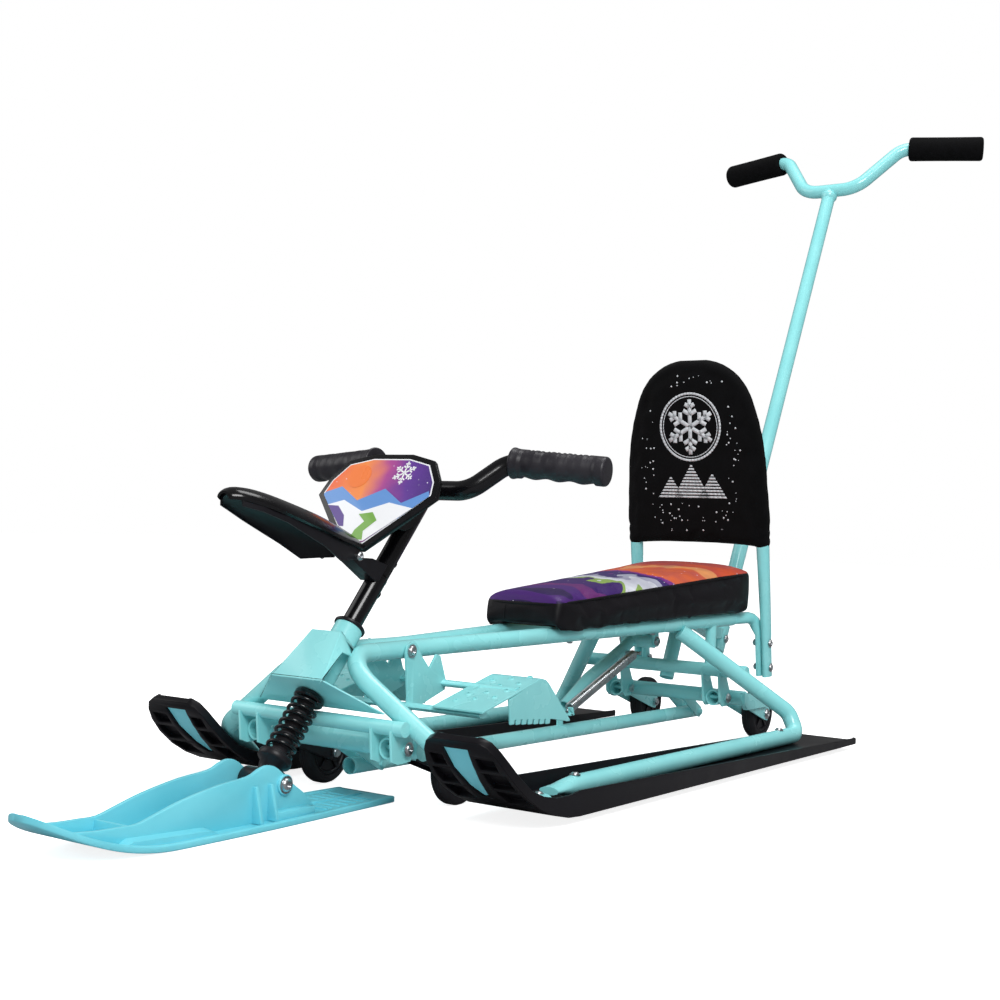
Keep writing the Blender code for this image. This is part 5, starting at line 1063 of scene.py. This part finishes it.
def stuffed(bm, voxel, pressure, cap):
    """the cover blown up by its filling: evened out, then pushed from inside, at most cap far"""
    scene = bpy.context.scene
    mesh = bpy.data.meshes.new("cover")
    bm.to_mesh(mesh)
    bm.free()
    cover = bpy.data.objects.new("cover", mesh)
    scene.collection.objects.link(cover)
    even = cover.modifiers.new("even", "REMESH")
    even.mode = "VOXEL"
    even.voxel_size = voxel
    smooth = cover.modifiers.new("smooth", "SMOOTH")
    smooth.iterations = 3
    flat = bpy.data.meshes.new_from_object(cover.evaluated_get(bpy.context.evaluated_depsgraph_get()))
    cover.modifiers.clear()
    cover.data = flat
    rest = [v.co.copy() for v in flat.vertices]
    cloth = cover.modifiers.new("filling", "CLOTH")
    cloth.settings.use_pressure = True
    cloth.settings.uniform_pressure_force = pressure
    cloth.settings.effector_weights.gravity = 0
    cloth.settings.tension_stiffness = 25
    cloth.settings.compression_stiffness = 25
    cloth.settings.bending_stiffness = 1.0
    for step in range(1, 21):
        scene.frame_set(step)
    flat = bpy.data.meshes.new_from_object(cover.evaluated_get(bpy.context.evaluated_depsgraph_get()))
    scene.frame_set(1)
    made = bmesh.new()
    made.from_mesh(flat)
    for vert, old in zip(made.verts, rest):
        step = vert.co - old
        if step.length > cap:
            vert.co = old + step.normalized() * cap
    bpy.data.objects.remove(cover)
    return made


def refined(piece):
    """one level of subdivision"""
    finer = piece.modifiers.new("finer", "SUBSURF")
    finer.levels = 1
    finer.render_levels = 1


pad = stuffed(loft(seat_rings()), 0.004, 3.0, 0.0035)
for vert in pad.verts:
    x, y, z = vert.co
    on_board = abs(x) < seat_half(y) - 0.017 and SEAT_FRONT + 0.021 < y < SEAT_REAR - 0.017
    low = seat_floor(y) + (0.0066 if on_board else 0.0003)
    if abs(x) > rail_edge(y) + 0.0004:
        # outside the rails the cover hangs lower, but clear of their sides
        low = seat_floor(y) - seat_droop(y) - 0.0015
        if z < seat_floor(y):
            vert.co.x = math.copysign(max(abs(x), rail_edge(y) + 0.0014), x)
    vert.co.z = max(z, low)
    vert.co.y = min(max(y, SEAT_FRONT + 0.0005), SEAT_REAR - 0.0005)

# calendered vinyl on a knit backing: leather grain about 1.5 mm across, soft sheen
VINYL = dull(surface("black_vinyl", ("0D0B10", "131116"), 0.44, 0.0015, 0.00012, patch=0.03,
                     relief="TexVoronoi"), 0.28)
tree = VINYL.node_tree
shader = shader_of(VINYL)
place = add(tree, "TexCoord").outputs["Object"]
parts = add(tree, "SeparateXYZ", {"Vector": place})
# the print runs from the seat's front to its rear, 452 mm, in wide bands bent by a slow noise
slow = add(tree, "TexNoise", {"Vector": place, "Scale": 7.0, "Detail": 2.5, "Distortion": 1.2}).outputs[0]
lengthways = {"Value": parts.outputs["Y"], "From Min": SEAT_FRONT - MIDDLE_Y,
              "From Max": SEAT_REAR - MIDDLE_Y}
along = add(tree, "MapRange", {**lengthways, "To Min": -0.22, "To Max": 0.72}).outputs[0]
drift = add(tree, "Math", {0: slow, 1: 0.55}, operation="MULTIPLY").outputs[0]
bands = add(tree, "ValToRGB", {"Fac": add(tree, "Math", {0: along, 1: drift}, operation="ADD").outputs[0]})
PANEL = ((0.0, "2A1848"), (0.10, "4B2372"), (0.18, "6E2A6C"), (0.25, "3B1E63"), (0.33, "8FB04C"),
         (0.36, "D8DCE2"), (0.44, "A9ACBC"), (0.50, "3A2A66"), (0.56, "7A2E86"), (0.62, "D9652F"),
         (0.74, "E79A5A"), (0.80, "D0562E"))
set_stops(bands, PANEL)
bands.color_ramp.interpolation = "CONSTANT"
# a soft haze makes the ink of each band a little uneven
haze = add(tree, "TexNoise", {"Vector": place, "Scale": 30.0, "Detail": 3.0}).outputs[0]
veil = add(tree, "MapRange", {"Value": haze, "From Min": 0.3, "From Max": 0.7,
                              "To Min": 0.0, "To Max": 0.38}).outputs[0]
inked = add(tree, "MixRGB", {"Fac": veil, "Color1": bands.outputs[0],
                             "Color2": linear("3A2368")}).outputs[0]
specks = dots(tree, place, 0.016, 0.07)
print_colour = add(tree, "MixRGB", {"Fac": specks, "Color1": inked, "Color2": linear("E6DDEE")}).outputs[0]
# the print covers what lies inside the piped seam and above it
taper = add(tree, "MapRange", {**lengthways, "To Min": seat_half(SEAT_FRONT) - 0.0035,
                               "To Max": seat_half(SEAT_REAR) - 0.0035}).outputs[0]
wide = add(tree, "Math", {0: parts.outputs["X"]}, operation="ABSOLUTE").outputs[0]
inside = add(tree, "Math", {0: wide, 1: taper}, operation="LESS_THAN").outputs[0]
over = add(tree, "MapRange", {**lengthways, "To Min": seat_seam(SEAT_FRONT) + 0.0004,
                              "To Max": seat_seam(SEAT_REAR) + 0.0004}).outputs[0]
upper = add(tree, "Math", {0: parts.outputs["Z"], 1: over}, operation="GREATER_THAN").outputs[0]
mask = add(tree, "Math", {0: inside, 1: upper}, operation="MULTIPLY").outputs[0]
black = shader.inputs["Base Color"].links[0].from_socket
panel = add(tree, "MixRGB", {"Fac": mask, "Color1": black, "Color2": print_colour})
tree.links.new(panel.outputs[0], shader.inputs["Base Color"])
seat = put("seat_pad", pad, VINYL, "frame", "seat_cushion", crease=180)
# the cover is drawn round the board's edge; only the underside is bare
board.data.materials.append(VINYL)
for face in board.data.polygons:
    face.material_index = 0 if face.normal.z < -0.9 else 1
refined(seat)


# the piping follows the top seam; a thin welt joins the cover's two parts on its front face
seam = [(seat_half(y) - 0.003, y) for y in [SEAT_FRONT + 0.016 + 0.42 * k / 24 for k in range(25)]]
front_arc = [(seat_half(SEAT_FRONT) * w, SEAT_FRONT + d) for w, d in
             ((0.0, 0.002), (0.35, 0.002), (0.70, 0.0025), (0.85, 0.006), (0.93, 0.011))]
rear_arc = [(seat_half(SEAT_REAR) * w, SEAT_REAR - d) for w, d in
            ((0.96, 0.011), (0.90, 0.006), (0.75, 0.0025), (0.40, 0.002), (0.0, 0.002))]
right = front_arc + seam + rear_arc
path = right + [(-x, y) for x, y in reversed(right[1:-1])]
pad_tree = BVHTree.FromObject(seat, bpy.context.evaluated_depsgraph_get())
cord = []
for x, y in path:
    spot, normal, _, _ = pad_tree.find_nearest(Vector((x, y - MIDDLE_Y, seat_seam(y))))
    cord.append(spot + DATUM + normal * 0.0003)
for _ in range(3):
    cord = [(a + b * 2 + c) / 4 for a, b, c in zip(cord[-1:] + cord[:-1], cord, cord[1:] + cord[:1])]
cord.append(cord[0].copy())
PIPING = dull(surface("black_piping_vinyl", ("09080B", "0E0D10"), 0.40, 0.0010, 0.00004), 0.3)
put("seat_piping", tube(cord, 0.0016, 10, Z_AXIS), PIPING, "frame", crease=80, slot="black_vinyl")
joint = []
for k in range(9):
    z = seat_floor(SEAT_FRONT) + (seat_seam(SEAT_FRONT) - seat_floor(SEAT_FRONT)) * k / 8
    spot = pad_tree.find_nearest(Vector((-0.0240, SEAT_FRONT - 0.01 - MIDDLE_Y, z)))[0]
    joint.append(spot + DATUM)
put("seat_front_seam", tube(joint, 0.0008, 8), PIPING, "frame", crease=80, slot="black_vinyl")


# Backrest sleeve: a pocket of black cloth over foam, pulled down over the hoop, with a bound edge.
# Its front carries a light screen print: an ice crystal in two rings, three peaks and small dots.

SLEEVE_HALF = ((0.1150, 0.276), (0.1135, 0.350), (0.1090, 0.415), (0.0985, 0.468), (0.0820, 0.505),
               (0.0570, 0.532), (0.0210, 0.547))
SLEEVE_LAYERS = ((0.92, -0.94), (0.975, -0.80), (1.0, -0.42), (1.0, 0.42), (0.975, 0.80), (0.92, 0.94))


def sleeve_rings():
    """outlines of the empty pocket from its front to its back"""
    half = between(SLEEVE_HALF, 3)
    outline = half + [(-x, z) for x, z in reversed(half)]
    rings = []
    for shrink, depth in SLEEVE_LAYERS:
        points = []
        for x, z in outline:
            level = 0.40 + (z - 0.40) * shrink if z > 0.40 else z
            points.append(Vector((x * shrink, back_y(level) + depth * 0.0125, level)))
        rings.append(points)
    return rings


back_pad = stuffed(loft(sleeve_rings()), 0.005, 3.0, 0.0045)
HOOP_POINTS = []
for a, b in zip(BACK_HOOP, BACK_HOOP[1:]):
    HOOP_POINTS += [a.lerp(b, k / 12) for k in range(12)]
SLEEVE_DEPTH = 0.0155
CLOTH_OVER_TUBE = 0.0127
for vert in back_pad.verts:
    middle = back_y(vert.co.z)
    vert.co.y = min(max(vert.co.y, middle - SLEEVE_DEPTH), middle + SLEEVE_DEPTH)
    vert.co.z = max(vert.co.z, 0.2762)
    # the cloth lies over the hoop's tube and never inside it
    near = min(HOOP_POINTS, key=lambda p: (p - vert.co).length_squared)
    away = vert.co - near
    if away.length < CLOTH_OVER_TUBE:
        vert.co = near + away.normalized() * CLOTH_OVER_TUBE
# polyester woven 2/2, threads drawn at 1.2 mm so that they show, with a soft nap
CLOTH = dull(surface("black_cloth", ("050506", "09090B"), 0.85, 0.0012, 0.00006, patch=0.02,
                     relief="TexWave"), 0.1)
shader_of(CLOTH).inputs["Sheen Weight"].default_value = 0.03
sleeve = put("backrest_pad", back_pad, CLOTH, "frame", "backrest_sleeve", crease=180)
refined(sleeve)

bpy.context.view_layer.update()
sleeve_tree = BVHTree.FromObject(sleeve, bpy.context.evaluated_depsgraph_get())


def on_sleeve(x, z, lift):
    """place on the sleeve's front face under a point of the print"""
    spot = sleeve_tree.ray_cast(Vector((x, 0.0, z)), Vector((0, 1, 0)))[0]
    return spot + Vector((0, MIDDLE_Y - lift, 0))


def ink_shape(bm, outline):
    """one flat shape of the print"""
    bm.faces.new([bm.verts.new((x, 0, z)) for x, z in outline])


shapes = bmesh.new()
PRINT_X, PRINT_Z = 0.0, 0.4480
for stroke in crystal(0.0400, 0.0060):
    ink_shape(shapes, [(PRINT_X + p.x, PRINT_Z + p.y) for p in stroke])
for big, small in ((0.0500, 0.0468), (0.0446, 0.0434)):
    outer = disc(PRINT_X, PRINT_Z, big, 60)
    inner = disc(PRINT_X, PRINT_Z, small, 60)
    for k in range(60):
        ink_shape(shapes, [outer[k - 1], outer[k], inner[k], inner[k - 1]])
# three peaks under the ring, each hatched with level lines
PEAK_FOOT = 0.3450
for peak, half, rows in ((0.0, 0.0300, 11), (-0.034, 0.0210, 7), (0.034, 0.0230, 8)):
    for row in range(rows):
        z = PEAK_FOOT + 0.0045 * row
        near, far = half * (1 - row / rows), half * (1 - (row + 0.6) / rows)
        for step in range(6):
            a, b = -1 + 2 * step / 6, -1 + 2 * (step + 1) / 6
            ink_shape(shapes, [(peak + near * a, z), (peak + near * b, z), (peak + far * b, z + 0.0027),
                               (peak + far * a, z + 0.0027)])
DOTS = 90
chance = random.Random(11)
count = 0
while count < DOTS:
    x, z = chance.uniform(-0.085, 0.085), chance.uniform(0.295, 0.522)
    clear = abs(x) > 0.058 or z < 0.338 or z > 0.505
    if clear and abs(x) / 0.095 + abs(z - 0.40) / 0.26 < 1.0:
        ink_shape(shapes, disc(x, z, chance.choice((0.0007, 0.0010, 0.0014)), 8))
        count += 1
long_edges = [e for e in shapes.edges if e.calc_length() > 0.008]
bmesh.ops.subdivide_edges(shapes, edges=long_edges, cuts=4, use_grid_fill=True)
for vert in shapes.verts:
    vert.co = on_sleeve(vert.co.x, vert.co.z, 0.0004)
PRINT_INK = surface("screen_print_ink", ("C9CDD2", "DADDE1"), 0.6, 0.0010, 0.00001, patch=0.01)
ink = put("backrest_print", shapes, PRINT_INK, "frame", slot="black_cloth")
body = ink.modifiers.new("ink_body", "SOLIDIFY")
body.thickness = 0.0002
body.offset = -1

# a narrow binding runs up one side of the sleeve, over its top and down the other
edge_half = between(SLEEVE_HALF, 4)
edge_line = []
for x, z in edge_half + [(-x, z) for x, z in reversed(edge_half)]:
    spot = sleeve_tree.find_nearest(Vector((x * 1.02, back_y(z) - MIDDLE_Y, z + 0.001)))[0]
    edge_line.append(spot + DATUM)
BINDING = dull(surface("black_cloth_binding", ("070708", "0C0C0E"), 0.8, 0.0010, 0.00005), 0.15)
put("sleeve_seam", tube(edge_line, 0.0009, 8, (0, 1, 0)), BINDING, "frame", crease=80, slot="black_cloth")


# Studio: a wide white floor in white surroundings, three large soft lamps, and the camera at the
# height of a crouching photographer, in front of the sled's left side.

floor = bmesh.new()
bmesh.ops.create_grid(floor, x_segments=1, y_segments=1, size=12.0)
mesh = bpy.data.meshes.new("studio_floor")
floor.to_mesh(mesh)
floor.free()
ground = bpy.data.objects.new("studio_floor", mesh)
bpy.context.scene.collection.objects.link(ground)
PAPER = bpy.data.materials.new("white_paper")
PAPER.use_nodes = True
tree = PAPER.node_tree
shader = tree.nodes["Principled BSDF"]
shader.inputs["Roughness"].default_value = 0.9
light_path = add(tree, "LightPath")
# reflections see a greyer floor, as where black cards stand round a product
half_lit = add(tree, "Math", {0: light_path.outputs["Is Diffuse Ray"], 1: 0.5}, operation="MULTIPLY")
grey = add(tree, "Math", {0: light_path.outputs["Is Glossy Ray"], 1: half_lit.outputs[0]},
           operation="MAXIMUM").outputs[0]
shade = add(tree, "MixRGB", {"Fac": grey, "Color1": linear("EFEFF0"),
                             "Color2": linear("808083")}).outputs[0]
tree.links.new(shade, shader.inputs["Base Color"])
glow = add(tree, "Math", {0: light_path.outputs["Is Camera Ray"], 1: 0.85}, operation="MULTIPLY").outputs[0]
lift = add(tree, "Emission", {"Color": (1, 1, 1, 1), "Strength": glow})
both = add(tree, "AddShader", {0: shader.outputs[0], 1: lift.outputs[0]})
tree.links.new(both.outputs[0], tree.nodes["Material Output"].inputs["Surface"])
mesh.materials.append(PAPER)

world = bpy.data.worlds.new("studio_air")
bpy.context.scene.world = world
world.use_nodes = True
tree = world.node_tree
light_path = add(tree, "LightPath")
seen = add(tree, "Math", {0: light_path.outputs["Is Camera Ray"],
                          1: light_path.outputs["Is Transmission Ray"]}, operation="MAXIMUM").outputs[0]
strength = add(tree, "MapRange", {"Value": seen, "To Min": 0.40, "To Max": 1.0}).outputs[0]
dimmed = add(tree, "MapRange", {"Value": light_path.outputs["Is Glossy Ray"],
                                "To Min": 1.0, "To Max": 0.45}).outputs[0]
strength = add(tree, "Math", {0: strength, 1: dimmed}, operation="MULTIPLY").outputs[0]
tree.links.new(strength, tree.nodes["Background"].inputs["Strength"])
tree.nodes["Background"].inputs["Color"].default_value = (1, 1, 1, 1)

for name, at, size, watts in (("key_lamp", (2.2, -2.4, 2.6), 1.5, 98.0),
                              ("fill_lamp", (-2.8, -1.6, 1.8), 2.2, 22.0),
                              ("top_lamp", (0.3, 0.6, 3.2), 1.6, 40.0)):
    lamp = bpy.data.lights.new(name, "AREA")
    lamp.size = size
    lamp.energy = watts
    holder = bpy.data.objects.new(name, lamp)
    holder.location = at
    holder.rotation_euler = (-Vector(at) + Vector((0, 0, 0.3))).to_track_quat("-Z", "Y").to_euler()
    bpy.context.scene.collection.objects.link(holder)

CAMERA_AT = (1.0493, -1.6844, 0.3013)
LENS_MM = 54.64
YAW, PITCH, ROLL = -0.6129, 0.0139, 0.0340
ahead = Vector((math.cos(PITCH) * math.sin(YAW), math.cos(PITCH) * math.cos(YAW), math.sin(PITCH)))
level = ahead.cross(Z_AXIS).normalized()
above = level.cross(ahead)
right_hand = level * math.cos(ROLL) + above * math.sin(ROLL)
overhead = above * math.cos(ROLL) - level * math.sin(ROLL)
lens = bpy.data.cameras.new("camera")
lens.sensor_width = 36.0
lens.lens = LENS_MM
camera = bpy.data.objects.new("camera", lens)
turned_to = Matrix((right_hand, overhead, -ahead)).transposed().to_4x4()
camera.matrix_world = Matrix.Translation(CAMERA_AT) @ turned_to
bpy.context.scene.collection.objects.link(camera)
bpy.context.scene.camera = camera
bpy.context.scene.view_settings.view_transform = "Standard"
